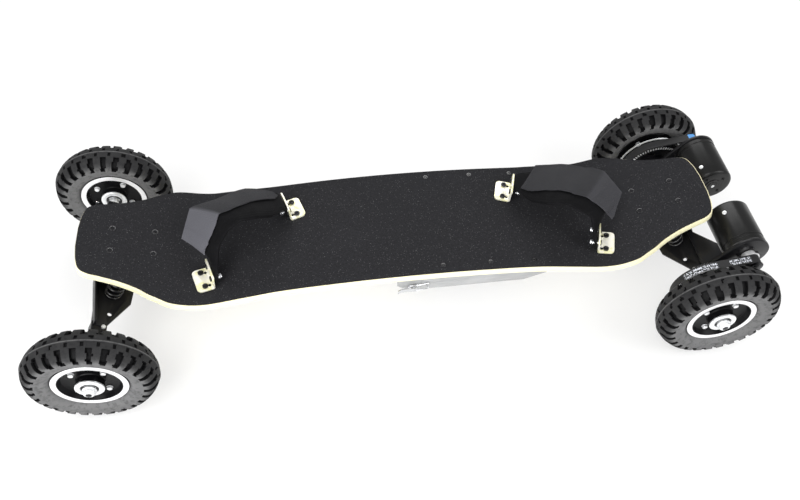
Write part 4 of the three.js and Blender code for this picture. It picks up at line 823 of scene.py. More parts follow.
def add_world():
    world = bpy.data.worlds.new("studio")
    world.use_nodes = True
    bpy.context.scene.world = world
    tree = world.node_tree
    base = tree.nodes["Background"]
    base.inputs[0].default_value = (1, 1, 1, 1)
    base.inputs[1].default_value = WORLD_LEVEL
    white = tree.nodes.new("ShaderNodeBackground")
    white.inputs[1].default_value = 1
    path = tree.nodes.new("ShaderNodeLightPath")
    mix = tree.nodes.new("ShaderNodeMixShader")
    tree.links.new(path.outputs["Is Camera Ray"], mix.inputs[0])
    tree.links.new(base.outputs[0], mix.inputs[1])
    tree.links.new(white.outputs[0], mix.inputs[2])
    tree.links.new(mix.outputs[0], tree.nodes["World Output"].inputs[0])


FLOOR_GLOW = 0.55
WORLD_LEVEL = 0.45
add_camera()
add_floor()
add_world()
add_lamp("key", (-1.2, -1.3, 2.6), (0, 0, 0.1), (1.8, 1.8), 45)
add_lamp("front", (-1.2, -2.2, 0.9), (-0.3, 0, 0.1), (2.6, 1.0), 55)
add_lamp("fill", (1.9, -1.2, 1.8), (0.1, 0, 0.1), (1.6, 1.6), 30)
add_lamp("back", (0.2, 2.2, 1.9), (0, 0, 0.1), (2.4, 1.2), 34)
bpy.context.scene.view_settings.view_transform = "Standard"


# ---------------------------------------------------------------- deck
HALF_DECK_STEPS = 90
DECK_STEPS_ACROSS = 14
CASE_SCREW_X = (53, 130, 202)
CASE_SCREW_Y = 95


def deck_stations(inset):
    """Places along the deck, each with the deck's half width there."""
    line = smooth_curve([(share * DECK_HALF_LENGTH, half * DECK_HALF_WIDTH, 0)
                         for share, half in DECK_OUTLINE])
    spots = [line(i / HALF_DECK_STEPS) for i in range(HALF_DECK_STEPS + 1)]
    scale = (DECK_HALF_LENGTH - inset) / DECK_HALF_LENGTH
    right = [(p.x * scale, p.y - inset) for p in spots]
    return [(-x, half) for x, half in reversed(right[1:])] + right


def deck_sheet(inset, top, thickness, edge, tail=0.0):
    """A curved sheet of the deck's outline; the tail says how much shorter it is at that end."""
    stations = deck_stations(inset)
    bpy.ops.mesh.primitive_grid_add(x_subdivisions=len(stations) - 1,
                                    y_subdivisions=DECK_STEPS_ACROSS, size=2)
    obj = bpy.context.object
    for vertex in obj.data.vertices:
        x, half = stations[round((vertex.co.x + 1) / 2 * (len(stations) - 1))]
        x -= tail * max(x, 0) / DECK_HALF_LENGTH
        height = deck_top(x) + top * deck_stretch(x)
        vertex.co = Vector((x, vertex.co.y * half, height)) * MM
    modified(obj, "SOLIDIFY", thickness=thickness * MM, offset=-1, use_even_offset=True)
    return outward(eased(obj, edge, 2, 40))


def add_deck():
    wood = deck_sheet(0, 0, DECK_THICKNESS, 0.9)
    depth = wood.data.attributes.new("depth", "FLOAT", "POINT")
    for i, vertex in enumerate(wood.data.vertices):
        x, z = vertex.co.x / MM, vertex.co.z / MM
        depth.data[i].value = (deck_top(x) - z) / deck_stretch(x)
    laid_in(wood, "deck_ply", "board", "deck_wood", WOOD, "deck_board")
    tape = deck_sheet(GRIP_INSET, SEAT_GAP + GRIP_THICKNESS, GRIP_THICKNESS, 0.3, 1.0)
    laid_in(tape, "grip_sheet", "board", "grip_tape", GRIP, "grip_tape")
    heads = []
    for x in CASE_SCREW_X:
        for y in (-CASE_SCREW_Y, CASE_SCREW_Y):
            up = Vector((-deck_slope(x), 0, 1)).normalized()
            foot = Vector((x, y, grip_top(x) - 0.3))
            heads.append(socket_screw(foot, up, 4.2, 1.5, 0.45, 0.7))
            heads.append(bar(foot - up * 13, foot, 2, 16, 0.2))
    laid_in(together(*heads), "case_screws", "board", "dark_steel", SPRING_BLACK)


# ---------------------------------------------------------------- wheels
# Radius, half width, the notches that cut the strip after it, and the rubber's painted light (paler wall:
# painted sheen)
TREAD = [
    (46.5, 17.1, "", 0.9), (56.6, 17.3, "", 0.9), (57.4, 18.2, "", 0.9), (58.6, 20.2, "", 1),
    (61, 22.6, "", 1), (64.5, 24.6, "", 1), (68.5, 25.8, "", 0.95), (72.5, 26.5, "", 0.9),
    (77, 27.1, "shoulder", 0.95), (80.5, 27.2, "shoulder", 0.9), (84.7, 26.5, "shoulder", 0.66),
    (88.2, 24.6, "shoulder", 0.45), (91.2, 21.6, "shoulder", 0.36), (93.5, 18.3, "shoulder", 0.34),
    (95.6, 14.8, "shoulder", 0.34), (97.2, 11.1, "", 0.34), (97.8, 9.2, "crown", 0.34),
    (98.9, 4.8, "crown", 0.34), (99.2, 2.4, "", 0.34), (99.3, 1.1, "", 0.45), (99.9, 0.5, "", 0.8),
]
NOTCH_DEPTHS = {"shoulder": 5.6, "crown": 2.4}
NOTCH_STARTS = {"shoulder": 0, "crown": 3}
NOTCH_WIDTHS = {"shoulder": 4, "crown": 2}
KNOBS = 28
STEPS_PER_KNOB = 9
STAGGER = 4
WHEEL_TURNS = {"nose_near": 0.28, "nose_far": 0.31, "tail_near": -0.07, "tail_far": 0.12}
AXLE_TIP = 223
THREAD_RIDGES = 9
THREAD_PITCH = 1.1
SPACER_RADIUS = 7.8


def add_tyre():
    """One tyre about the origin, its axle along y: staggered notches cut the tread into knobs."""
    near = [(r, y) for r, y, _, _ in TREAD]
    line = near + [(100, 0)] + [(r, -y) for r, y in reversed(near)]
    columns = KNOBS * STEPS_PER_KNOB
    tyre = turned(line, columns, True)
    after = near[1:] + [(100, 0)]
    rows = [((r0 + r1) / 2, (y0 + y1) / 2, tag)
            for (r0, y0, tag, _), (r1, y1) in zip(TREAD, after)]

    def nearest(table, spot):
        reach = math.hypot(spot.x, spot.z)
        return min(table, key=lambda row: math.hypot(row[0] - reach, row[1] - abs(spot.y)))
    shape = edit(tyre)
    # Each vertex takes its painted light from the table: the wall is painted paler as a sheen.
    shade = shape.verts.layers.float.new("shade")
    for vertex in shape.verts:
        vertex[shade] = nearest(TREAD, vertex.co / MM)[3]
    chosen = {tag: [] for tag in NOTCH_DEPTHS}
    for face in shape.faces:
        middle = face.calc_center_median() / MM
        tag = nearest(rows, middle)[2]
        if not tag:
            continue
        column = int(math.atan2(middle.z, middle.x) % math.tau / math.tau * columns)
        start = NOTCH_STARTS[tag] + (STAGGER if middle.y < 0 else 0)
        if (column + start) % STEPS_PER_KNOB < NOTCH_WIDTHS[tag]:
            chosen[tag].append(face.index)
    for tag, depth in NOTCH_DEPTHS.items():
        bpy.ops.mesh.select_all(action="DESELECT")
        shape = bmesh.from_edit_mesh(tyre.data)
        shape.faces.ensure_lookup_table()
        pick(tyre, shape, [shape.faces[i] for i in chosen[tag]])
        # Notch walls and floors are painted black: painted shade in the recesses.
        for inward in (-0.5, 0.5 - depth):
            bpy.ops.mesh.inset(thickness=0.25 * MM, depth=inward * MM)
            shape = bmesh.from_edit_mesh(tyre.data)
            shade = shape.verts.layers.float["shade"]
            for vertex in shape.verts:
                if vertex.select:
                    vertex[shade] = 0
    return close(tyre)


def add_rim():
    half = [(15.6, 22), (20.2, 22), (20.8, 21.4), (20.8, 12.2), (22, 11), (40.4, 11), (42.3, 11.7),
            (43.4, 13.2), (46.2, 19.0), (46.9, 19.5), (55.4, 19.5), (56, 18.9), (56, 17.5),
            (46.2, 17.3), (45.6, 15)]
    return turned(half + [(r, -y) for r, y in reversed(half)], 96, True)


def both_faces(profile, steps=72):
    ring = turned(profile, steps, True)
    return together(ring, moved(another(ring), Matrix.Scale(-1, 4, (0, 1, 0))))


RING = [(47.2, 19.4), (55.2, 19.4), (55.7, 19.7), (55.4, 20.1), (47.6, 20.1), (47.1, 19.8)]


def add_ring():
    return both_faces(RING, 96)


def add_outer_ring():
    """The tail wheels carry their pulleys on the other face."""
    return turned([(r, -y) for r, y in RING], 96, True)


def add_hub_cap():
    return both_faces([(13.4, 22.3), (21.2, 22.3), (21.5, 22.8), (21.5, 24.7), (20.9, 25.3),
                       (19.8, 25.6), (14.4, 25.6), (13.7, 25.3), (13.4, 24.8)])


def add_hub_seal():
    return both_faces([(9.4, 21), (13.2, 21), (13.2, 23.4), (12.6, 23.8), (9.4, 23.6)])


def add_rim_bolts():
    bolts = []
    for x, z in around(4, 32.5, math.radians(57)):
        for side in (-1, 1):
            bolts.append(cross_bar(x, z, side * 10.9, side * 11.7, 4.8, 24, 0.2))
            bolts.append(cross_bar(x, z, side * 11.5, side * 15.4, 4.2, 24, 1.0))
    return together(*bolts)


def add_valve():
    stem = turned([(0, 6), (3.4, 6), (3.4, 12.2), (2.6, 13), (2.6, 18), (3.1, 18.2), (3.1, 22.6),
                   (2.5, 23.4), (0, 23.4)], 20)
    return moved(stem, shifted(38.4, 0, -3.5))


def add_wheels():
    makers = (add_tyre, add_rim, add_ring, add_outer_ring, add_hub_cap, add_hub_seal, add_rim_bolts,
              add_valve)
    tyre, rim, ring, outer_ring, cap, seal, bolts, valve = (make() for make in makers)
    for end, ex in ENDS.items():
        for side, sy in SIDES.items():
            tag = f"{end}_{side}"
            body = f"wheel_{tag}"
            put = shifted(ex * HALF_BASE, sy * HALF_TRACK, AXLE_HEIGHT)
            flip = Matrix.Rotation(math.pi, 4, "Z") if sy > 0 else Matrix.Identity(4)
            spun = put @ flip @ Matrix.Rotation(WHEEL_TURNS[tag], 4, "Y")
            ring_made = ring if ex < 0 else outer_ring
            for made, name, slot, finish, node, place, angle in (
                    (tyre, "knobbly_tyre", "tyre_rubber", TYRE, f"tyre_{tag}", put @ flip, 30),
                    (rim, "dished_rim", "rim_black", RIM_PLASTIC, f"rim_{tag}", spun, 24),
                    (ring_made, "rim_ring", "bright_steel", RING_METAL, None, spun, 32),
                    (cap, "hub_cap", "bright_steel", BRIGHT, None, spun, 32),
                    (seal, "hub_seal", "rim_black", HUB_SEAL, None, spun, 32),
                    (bolts, "rim_bolts", "bright_steel", BRIGHT, None, spun, 32),
                    (valve, "tyre_valve", "bright_steel", STEEL, None, spun, 32)):
                piece = moved(another(made), place)
                laid_in(piece, f"{name}_{tag}", body, slot, finish, node, angle=angle)
    for made in (tyre, rim, ring, outer_ring, cap, seal, bolts, valve):
        bpy.data.objects.remove(made, do_unlink=True)


def add_axles():
    for end, ex in ENDS.items():
        x, z = ex * HALF_BASE, AXLE_HEIGHT
        parts, tips = [cross_bar(x, z, -214, 214, 5, 32, 0.2)], []
        for s in (-1, 1):
            thread = [(0, 212), (4.5, 212)]
            for i in range(THREAD_RIDGES):
                ridge = 212.6 + i * THREAD_PITCH
                thread += [(4.9, ridge), (4.5, ridge + THREAD_PITCH / 2)]
            thread += [(4.4, AXLE_TIP - 0.4), (4.0, AXLE_TIP), (0, AXLE_TIP)]
            parts.append(turned([(r, s * y) for r, y in thread], 32, False, (x, 0, z)))
            tips.append(cross_bar(x, z, s * (AXLE_TIP - 0.4), s * (AXLE_TIP + 0.5), 4.4, 24, 0.2))
            parts.append(hex_nut((x, s * 214.0, z), (x, s * 222, z), 10.4))
            for low, high, edge in ((209.2, 214.2, 0.3), (150.4, 164.8, 0.4)):
                parts.append(cross_bar(x, z, s * low, s * high, SPACER_RADIUS, 32, edge))
        laid_in(together(*parts), f"axle_and_nuts_{end}", f"truck_{end}", "bright_steel", BRIGHT,
                f"axle_{end}")
        laid_in(together(*tips), f"axle_tips_{end}", f"truck_{end}", "dark_steel", DARK_STEEL)


# ---------------------------------------------------------------- trucks
def truck_place(end):
    tail = shifted(HALF_BASE, 0, AXLE_HEIGHT) @ Matrix.Rotation(-LEAN, 4, "Y")
    return tail if ENDS[end] > 0 else Matrix.Rotation(math.pi, 4, "Z") @ tail


TIP_LEAN = LEAN - TIP_ANGLE


def into_truck(x, z):
    return ((x - HALF_BASE) * math.cos(LEAN) + (z - AXLE_HEIGHT) * math.sin(LEAN),
            -(x - HALF_BASE) * math.sin(LEAN) + (z - AXLE_HEIGHT) * math.cos(LEAN))


PLATE_X, PLATE_Z = into_truck(
    TRUCK_CENTRE, deck_top(TRUCK_CENTRE) - DECK_THICKNESS / math.cos(TIP_ANGLE))
EAR_THICKNESS = 6
EAR_STARTS = (-40.4, 20.4)
BRIDGE_LOW, BRIDGE_HIGH = 62, 66


def under_deck(x):
    return PLATE_Z - (x - PLATE_X) * math.tan(TIP_LEAN) - SEAT_GAP / math.cos(TIP_LEAN)


def pin_bar(start, end, radius, sides, edge):
    """A bar along the kingpin, in the truck's own frame."""
    return bar((start, 0, KINGPIN_RISE), (end, 0, KINGPIN_RISE), radius, sides, edge)


def spring_peg(side, low, high):
    x, y = SPRING_X, side * SPRING_Y
    return bar((x, y, low), (x, y, high), 7.5, 32, 0.8)


def truck_bracket():
    """Base plate under the deck, two ears that hold the kingpin, and the springs' bridge."""
    base = block((-44, -33, -5), (44, 33, 0), 1.0)
    base = moved(base, shifted(PLATE_X, 0, under_deck(PLATE_X)) @ Matrix.Rotation(TIP_LEAN, 4, "Y"))
    parts = [base]
    for x in EAR_STARTS:
        top = under_deck(x + EAR_THICKNESS / 2) - 3
        outline = [*arc(0, KINGPIN_RISE, 11, math.pi, 2 * math.pi, 18), (24, top), (-24, top)]
        ear = plate(outline, x, x + EAR_THICKNESS, 0, "X")
        ear = pierced(ear, pin_bar(x - 3, x + 9, 5.3, 28, 0))
        parts.append(eased(ear, 0.8, 2, 50))
    for side in (-1, 1):
        y = side * 10.5
        low, high = ((x + EAR_THICKNESS / 2, under_deck(x) - 3.3) for x in EAR_STARTS)
        rib = [(low[0], BRIDGE_LOW), (high[0], BRIDGE_LOW), high, low]
        parts.append(plate(rib, y - 2.5, y + 2.5, 0.7, "Y"))
        parts.append(spring_peg(side, 56, 64))
    bridge = rounded(SPRING_X - 19, SPRING_X + 19, -61, 61, 12.5, 8)
    parts.append(plate(bridge, BRIDGE_LOW, BRIDGE_HIGH, 0.8))
    return together(*parts)


def truck_bolts(end):
    """Deck bolts: socket heads above the tape and nuts under the base plate."""
    parts = []
    for along in (-1, 1):
        for side in (-1, 1):
            x = ENDS[end] * (TRUCK_CENTRE + along * TRUCK_BOLT_X / 2 * math.cos(TIP_ANGLE))
            foot = Vector((x, side * TRUCK_BOLT_Y / 2, deck_top(x)))
            up = Vector((-math.sin(TIP_ANGLE) * ENDS[end], 0, math.cos(TIP_ANGLE)))
            parts.append(socket_screw(foot + up * 0.3, up, 5, 2.0, 0.66, 0.85))
            parts.append(bar(foot - up * 22.6, foot + up * 0.5, 3, 20, 0.3))
            parts.append(hex_nut(foot - up * 17.5, foot - up * 22.3, 5))
    return together(*parts)


def hanger():
    """Axle tube, spring plate with a raised lip, kingpin sleeve and square ends."""
    def side(sign):
        return [(x, sign * y) for x, y in ((-47, 29), (-44.2, 58), (-10, 108), (10, 108), (18, 29))]
    flat = plate([*side(-1), *reversed(side(1))], 9, 13, 0)
    flat = pierced(flat, *(bar((-13, s * 84, 5), (-13, s * 84, 17), 3.5, 24, 0) for s in (-1, 1)))
    front = [(10, -108), (18, -29), (18, 29), (10, 108)]
    lip = plate([*front, *((x - 3.5, y) for x, y in reversed(front))], 11, 25, 0)
    tube = cross_bar(0, 0, -103, 103, 11, 48, 0)
    sleeve = pin_bar(-32, 18, 12, 48, 0)
    sleeve = pierced(sleeve, pin_bar(-36, 22, 8.6, 40, 0))
    parts = [eased(flat, 0.6), eased(lip, 0.6), tube, eased(sleeve, 0.6, 2, 50),
             block((-32, -7, 10), (18, 7, 17.5), 1.2)]
    for s in (-1, 1):
        low, high = sorted((s * 99, s * 150))
        parts.append(block((-12, low, -12), (12, high, 12), 1.6, 3))
        parts.append(spring_peg(s, 12, 19))
        low, high = sorted((s * 92, s * 100))
        parts.append(block((-8, low, -9), (8, high, 11), 1.5))
    return together(*parts)


def hanger_screws():
    parts = []
    for s in (-1, 1):
        parts.append(socket_screw((-6, s * 109.6, 12), (0, 0, 1), 3.4, 3.0, 0.5, 0.7))
        parts.append(socket_screw((12, s * 141, 0), (1, 0, 0), 3.2, 2.4, 0.5, 0.7))
    return together(*parts)


def kingpin():
    parts = [pin_bar(-47.4, 29.5, 5, 32, 0.6),
             pin_bar(26.6, 27.8, 9.4, 40, 0.3),
             pin_bar(27.6, 33, 8.5, 6, 0.8),
             hex_nut((-40.8, 0, KINGPIN_RISE), (-47, 0, KINGPIN_RISE), 8.5)]
    return together(*parts)


def steering_bush():
    return turned([(5.3, -34), (11.4, -34), (12, -33.4), (12, -32.3), (8, -32.3), (8, 18.3),
                   (12, 18.3), (12, 19.4), (11.4, 20), (5.3, 20)], 40, True,
                  (0, 0, KINGPIN_RISE), (1, 0, 0))


def spring_line():
    """The middle of a coil spring's wire; its first and last turns lie closer."""
    low, high, turns, dead, rise = 15.5, 59.5, 4.5, 0.75, 3.6
    per_turn, radius = 28, 12
    line = []
    for i in range(int(turns * per_turn) + 1):
        turn = i / per_turn
        share = min(max((turn - dead) / (turns - 2 * dead), 0), 1)
        lift = share * (high - low - 2 * rise)
        lift += turn / dead * rise if turn < dead else rise
        if turn > turns - dead:
            lift += (turn - turns + dead) / dead * rise
        angle = turn * math.tau
        line.append((radius * math.cos(angle), radius * math.sin(angle), low + lift))
    return line


def add_trucks():
    for end, ex in ENDS.items():
        place, body = truck_place(end), f"truck_{end}"
        lay_all(place, end, (truck_bracket, "bracket_casting", "board", "truck_black", TRUCK_PAINT,
                             f"truck_bracket_{end}"))
        laid_in(truck_bolts(end), f"deck_bolts_{end}", "board", "dark_steel", SPRING_BLACK)
        lay_all(place, end,
                (hanger, "hanger_casting", body, "truck_black", TRUCK_PAINT, f"hanger_{end}"),
                (hanger_screws, "hanger_screws", body, "bright_steel", BRIGHT, None),
                (kingpin, "kingpin_bolt", "board", "dark_steel", DARK_STEEL, f"kingpin_{end}"),
                (steering_bush, "steering_bush", body, "black_plastic", BUSH,
                 f"kingpin_bushing_{end}"))
        for side, sy in SIDES.items():
            seat = place @ shifted(SPRING_X, sy * ex * SPRING_Y, 0)
            coil = moved(wire(spring_line(), 2.2, 12), seat)
            laid_in(coil, f"coil_spring_{end}_{side}", None, "spring_black", SPRING_BLACK,
                    f"spring_{end}_{side}", angle=60)
            top, foot = (seat @ (Vector((0, 0, h)) * MM) for h in (57, 18))
            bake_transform(coil, "board", f"truck_{end}", start=tuple(top), end=tuple(foot))


# ---------------------------------------------------------------- belt drive
def drive_place(sy):
    put = shifted(HALF_BASE, 0, AXLE_HEIGHT)
    return put if sy > 0 else put @ Matrix.Scale(-1, 4, (0, 1, 0))


def toothed(teeth, tip, phase):
    """Outline of a toothed wheel; the phase puts a groove in the middle of the line of centres."""
    points = []
    for i in range(teeth):
        for share, height in ((-0.28, 0), (-0.2, 1), (0.2, 1), (0.28, 0)):
            angle = phase + (i + share) / teeth * math.tau
            radius = tip - TOOTH_DEPTH * (1 - height)
            points.append((radius * math.cos(angle), radius * math.sin(angle)))
    return points


def belt_path(steps):
    """Even stations along the belt's root line, each with its way out, and the line's length."""
    wheel, motor = WHEEL_TIP + SEAT_GAP, MOTOR_TIP + SEAT_GAP
    spread = math.acos((wheel - motor) / BELT_CENTRES)
    straight = math.sqrt(BELT_CENTRES ** 2 - (wheel - motor) ** 2)
    leave, arrive = MOTOR_DIRECTION - spread, MOTOR_DIRECTION + spread
    axle, hub = Vector((0, 0)), Vector((MOTOR_X, MOTOR_Z))
    stretches = ((wheel * (math.tau - 2 * spread), axle, wheel, arrive, True),
                 (straight, axle, wheel, leave, False),
                 (motor * 2 * spread, hub, motor, leave, True),
                 (straight, hub, motor, arrive, False))
    total = sum(stretch[0] for stretch in stretches)
    stations = []
    for i in range(steps):
        run = i / steps * total
        for length, middle, radius, angle, wrapped in stretches:
            if run < length:
                break
            run -= length
        if wrapped:
            angle, run = angle + run / radius, 0
        out = Vector((math.cos(angle), math.sin(angle)))
        stations.append((middle + out * radius + Vector((-out.y, out.x)) * run, out))
    return stations, total


def belt_band():
    """A closed toothed belt, smooth on its back. It carries its run in millimetres."""
    heights = (0, 0, 0.9, 1, 0.9, 0)
    per_tooth = len(heights)
    _, total = belt_path(4)
    teeth = round(total / BELT_PITCH)
    stations, _ = belt_path(teeth * per_tooth)
    rings = []
    for i, (spot, out) in enumerate(stations):
        drop = heights[i % per_tooth] * TOOTH_DEPTH * 0.9
        inner, outer = spot - out * drop, spot + out * BELT_BACK
        rings.append([(inner.x, BELT_INNER, inner.y), (inner.x, BELT_INNER + BELT_WIDTH, inner.y),
                      (outer.x, BELT_INNER + BELT_WIDTH, outer.y), (outer.x, BELT_INNER, outer.y)])
    band = lofted(rings)
    spots = [ring for ring, _ in rings_of(band, rings)]
    shape = edit(band)
    pick(band, shape, [f for f in shape.faces
                       if {spots[v.index] for v in f.verts} in ({0}, {len(rings) - 1})])
    bpy.ops.mesh.bridge_edge_loops()
    bpy.ops.mesh.select_all(action="SELECT")
    bpy.ops.mesh.normals_make_consistent(inside=False)
    close(band)
    run = band.data.attributes.new("run", "FLOAT", "POINT")
    for i, (ring, _) in enumerate(rings_of(band, rings)):
        run.data[i].value = total * ring / len(rings)
    return band


AT_MOTOR = shifted(MOTOR_X, 0, MOTOR_Z)
WEB_LOW, WEB_HIGH = 137, 142
WHEEL_HUB_END = 175.7
WHEEL_HUB_BORE = 22.7
CAN_RADIUS = 34.3
CAN_START, CAN_END = 31, 115
MOUNT_LOW, MOUNT_HIGH = 115.3, 121.3
MOUNT_CUT = (110, 127)


def wheel_pulley():
    inner, outer = BELT_INNER - 0.8, BELT_INNER + BELT_WIDTH + 0.8
    rim = plate(toothed(WHEEL_TEETH, WHEEL_TIP, 0), inner, outer, 0, "Y")
    hollow = cross_bar(0, 0, inner - 3, outer + 3, 46.6, 72, 0)
    rim = pierced(rim, hollow)
    web = plate(around(72, 50), WEB_LOW, WEB_HIGH, 0, "Y")
    cut = WEB_LOW - 5, WEB_HIGH + 5
    holes = [cross_bar(0, 0, *cut, WHEEL_HUB_BORE, 48, 0)]
    holes += [cross_bar(x, z, *cut, 6, 28, 0) for x, z in around(5, 36.8, math.tau / 10)]
    web = pierced(web, *holes)
    bore, end = WHEEL_HUB_BORE, WHEEL_HUB_END
    hub = turned([(bore, inner), (26.4, inner), (27, inner + 0.6), (27, end - 0.3), (26.6, end),
                  (bore, end)], 64, True)
    return together(rim, eased(web, 0.5, 2, 50), hub)


def wheel_flanges():
    """Bright parts of the big pulley: a thin flange on its wheel side and the ends of its teeth."""
    inner, outer = BELT_INNER - 0.8, BELT_INNER + BELT_WIDTH + 0.8
    flange = turned([(60.5, outer), (63.5, outer), (63.9, outer + 0.4), (63.5, outer + 0.8),
                     (60.5, outer + 0.8)], 128, True)
    ends = [moved(block((52.2, inner - 0.6, -1.1), (56.5, inner + 0.2, 1.1), 0),
                  Matrix.Rotation(-i / WHEEL_TEETH * math.tau, 4, "Y")) for i in range(WHEEL_TEETH)]
    return together(flange, *ends)


def motor_pulley():
    inner, outer = BELT_INNER - 0.4, BELT_INNER + BELT_WIDTH + 0.4
    teeth = plate(toothed(MOTOR_TEETH, MOTOR_TIP, 0), inner - 0.3, outer + 0.3, 0, "Y")
    parts = [teeth, cross_bar(0, 0, outer, outer + 1.2, 14.4, 64, 0.3)]
    parts.append(cross_bar(0, 0, 107.4, outer + 3.6, 4, 32, 0.4))
    parts.append(cross_bar(0, 0, outer + 1.2, outer + 2.9, 8.2, 40, 0.5))
    return moved(together(*parts), AT_MOTOR)


def pinion_cheek():
    inner = BELT_INNER - 0.4
    cheek = turned([(0, inner - 1.6), (15.1, inner - 1.6), (15.6, inner - 1.1), (15.6, inner - 0.3),
                    (15.2, inner), (0, inner)], 64)
    return moved(together(cheek, cross_bar(0, 0, 122, inner, 11.6, 48, 0.6)), AT_MOTOR)


def motor_can():
    """A closed can with a bearing boss, a groove by its belt end, four screws and a gland."""
    inner, outer, wide = CAN_START, CAN_END, CAN_RADIUS
    line = [(0, inner - 2), (8.6, inner - 2), (9, inner - 1.2), (13.4, inner - 1.2),
            (14, inner - 0.6), (14, inner), (28.4, inner), (29.8, inner + 0.3), (32.2, inner + 1.4),
            (33.6, inner + 3.1), (wide, inner + 5.4), (wide, 101.6), (33.9, 102), (33.4, 102.2),
            (33.4, 106.8), (33.9, 107), (wide, 107.4), (wide, 113.6), (33.6, 114.6), (32.6, outer),
            (4.3, outer), (4.3, 107), (0, 107)]
    parts = [turned(line, 96)]
    for x, z in around(4, 21, math.radians(45)):
        parts.append(socket_screw((x, inner + 0.2, z), (0, -1, 0), 2.6, 1.4, 0.5, 0.7, 18))
    gland = [(0, -8), (5.6, -8), (5.6, -1), (5, -0.4), (5, 7.2), (4.4, 8), (0, 8)]
    parts.append(turned(gland, 32, False, (0, inner + 15, -wide), (0, 0, -1)))
    return moved(together(*parts), AT_MOTOR)


def motor_brights():
    """A bright screw on the side of the can and the shaft's end."""
    angle = math.radians(128.8)
    out = Vector((math.cos(angle), 0, math.sin(angle)))
    foot = out * (CAN_RADIUS - 0.2) + Vector((0, 52.2, 0))
    parts = [socket_screw(foot, out, 3.6, 1.4, 0.4, 0.6),
             cross_bar(0, 0, CAN_START - 2.4, CAN_START, 3, 24, 0.3)]
    return moved(together(*parts), AT_MOTOR)


def motor_mount():
    """A plate from the axle end to the motor, with a shelf over the hanger and four screws."""
    by_axle, by_motor, half = 22, 35, 12.3
    spread = math.acos((by_axle - by_motor) / BELT_CENTRES)
    leave, arrive = MOTOR_DIRECTION - spread, MOTOR_DIRECTION + spread
    outline = [*arc(0, 0, by_axle, arrive, leave + math.tau, 24),
               *arc(MOTOR_X, MOTOR_Z, by_motor, leave, arrive, 36)]
    flat = plate(outline, MOUNT_LOW, MOUNT_HIGH, 0, "Y")
    low, high = MOUNT_CUT
    square = moved(block((-half, low, -half), (half, high, half), 0),
                   Matrix.Rotation(-LEAN, 4, "Y"))
    shaft = cross_bar(MOTOR_X, MOTOR_Z, low, high, 9, 40, 0)
    slot = cross_bar(MOTOR_X * 0.42, MOTOR_Z * 0.42, low, high, 5, 32, 0)
    shelf = plate([(7.5, 47), (14, 47.6), (17, 50), (43.4, 87), (43.4, 118.3), (7.5, 118.3)],
                  26, 30, 1.2)
    parts = [eased(pierced(flat, square, shaft, slot), 0.6, 2, 50),
             moved(shelf, Matrix.Rotation(-LEAN, 4, "Y"))]
    for x, z in around(4, 16, MOTOR_DIRECTION + math.radians(45)):
        place = (MOTOR_X + x, MOUNT_HIGH - 0.3, MOTOR_Z + z)
        parts.append(socket_screw(place, (0, 1, 0), 3.1, 2.4, 0.5, 0.7, 20))
    return together(*parts)


def add_drive():
    for side, sy in SIDES.items():
        wheel, pinion, truck = f"wheel_tail_{side}", f"pinion_{side}", "truck_tail"
        lay_all(drive_place(sy), side,
                (wheel_pulley, "toothed_wheel_ring", wheel, "pulley_black", PULLEY,
                 f"wheel_pulley_{side}"),
                (belt_band, "toothed_belt", truck, "belt_rubber", BELT, f"belt_{side}"),
                (wheel_flanges, "pulley_flanges", wheel, "bright_steel", BRIGHT, None),
                (motor_pulley, "drive_pinion", pinion, "dark_steel", DARK_STEEL,
                 f"motor_pulley_{side}"),
                (pinion_cheek, "pinion_cheek", pinion, "bright_steel", RING_METAL, None),
                (motor_can, "motor_can", truck, "motor_black", MOTOR_SKIN, f"motor_{side}"),
                (motor_brights, "motor_screws", truck, "bright_steel", BRIGHT, None),
                (motor_mount, "mount_plate", truck, "truck_black", TRUCK_PAINT,
                 f"motor_mount_{side}"))


# ---------------------------------------------------------------- bindings
BRACKET_YAW = math.radians(17)
BINDING_MIDDLE = 253
BINDING_OFFSET = 3.2
BINDING_SIDE = -9.5
SPAN_X = 149.5
SPAN_Y = 123
ARCH = {-1: (
    ((0.288, -0.341, 0.582), (0.619, 0.09, 0.445)),
    ((0.162, -0.28, 0.861), (0.55, 0.296, 0.605)),
    ((0.016, -0.221, 0.989), (0.286, 0.374, 0.671)),
    ((-0.147, -0.146, 0.886), (-0.003, 0.483, 0.626)),
    ((-0.293, 0.019, 0.617), (-0.218, 0.525, 0.487)),
), 1: (
    ((0.28, -0.416, 0.608), (0.599, -0.096, 0.417)),
    ((0.104, -0.406, 0.818), (0.596, 0.141, 0.588)),
    ((-0.034, -0.335, 0.868), (0.411, 0.326, 0.708)),
    ((-0.211, -0.261, 0.773), (0.093, 0.431, 0.647)),
    ((-0.339, -0.044, 0.537), (-0.16, 0.53, 0.49)),
)}
TAB_LEAN = 2.6
FOOT_REACH = 13.5
BRACKET_HALF_WIDTH = 21.5
BRACKET_SHEET = 2.6
LEG_HEIGHT = 30
FOOT_SCREW_Y = 13.5
STRAP_BOLT_Y = 12.5
STRAP_BOLT_HEIGHT = 17
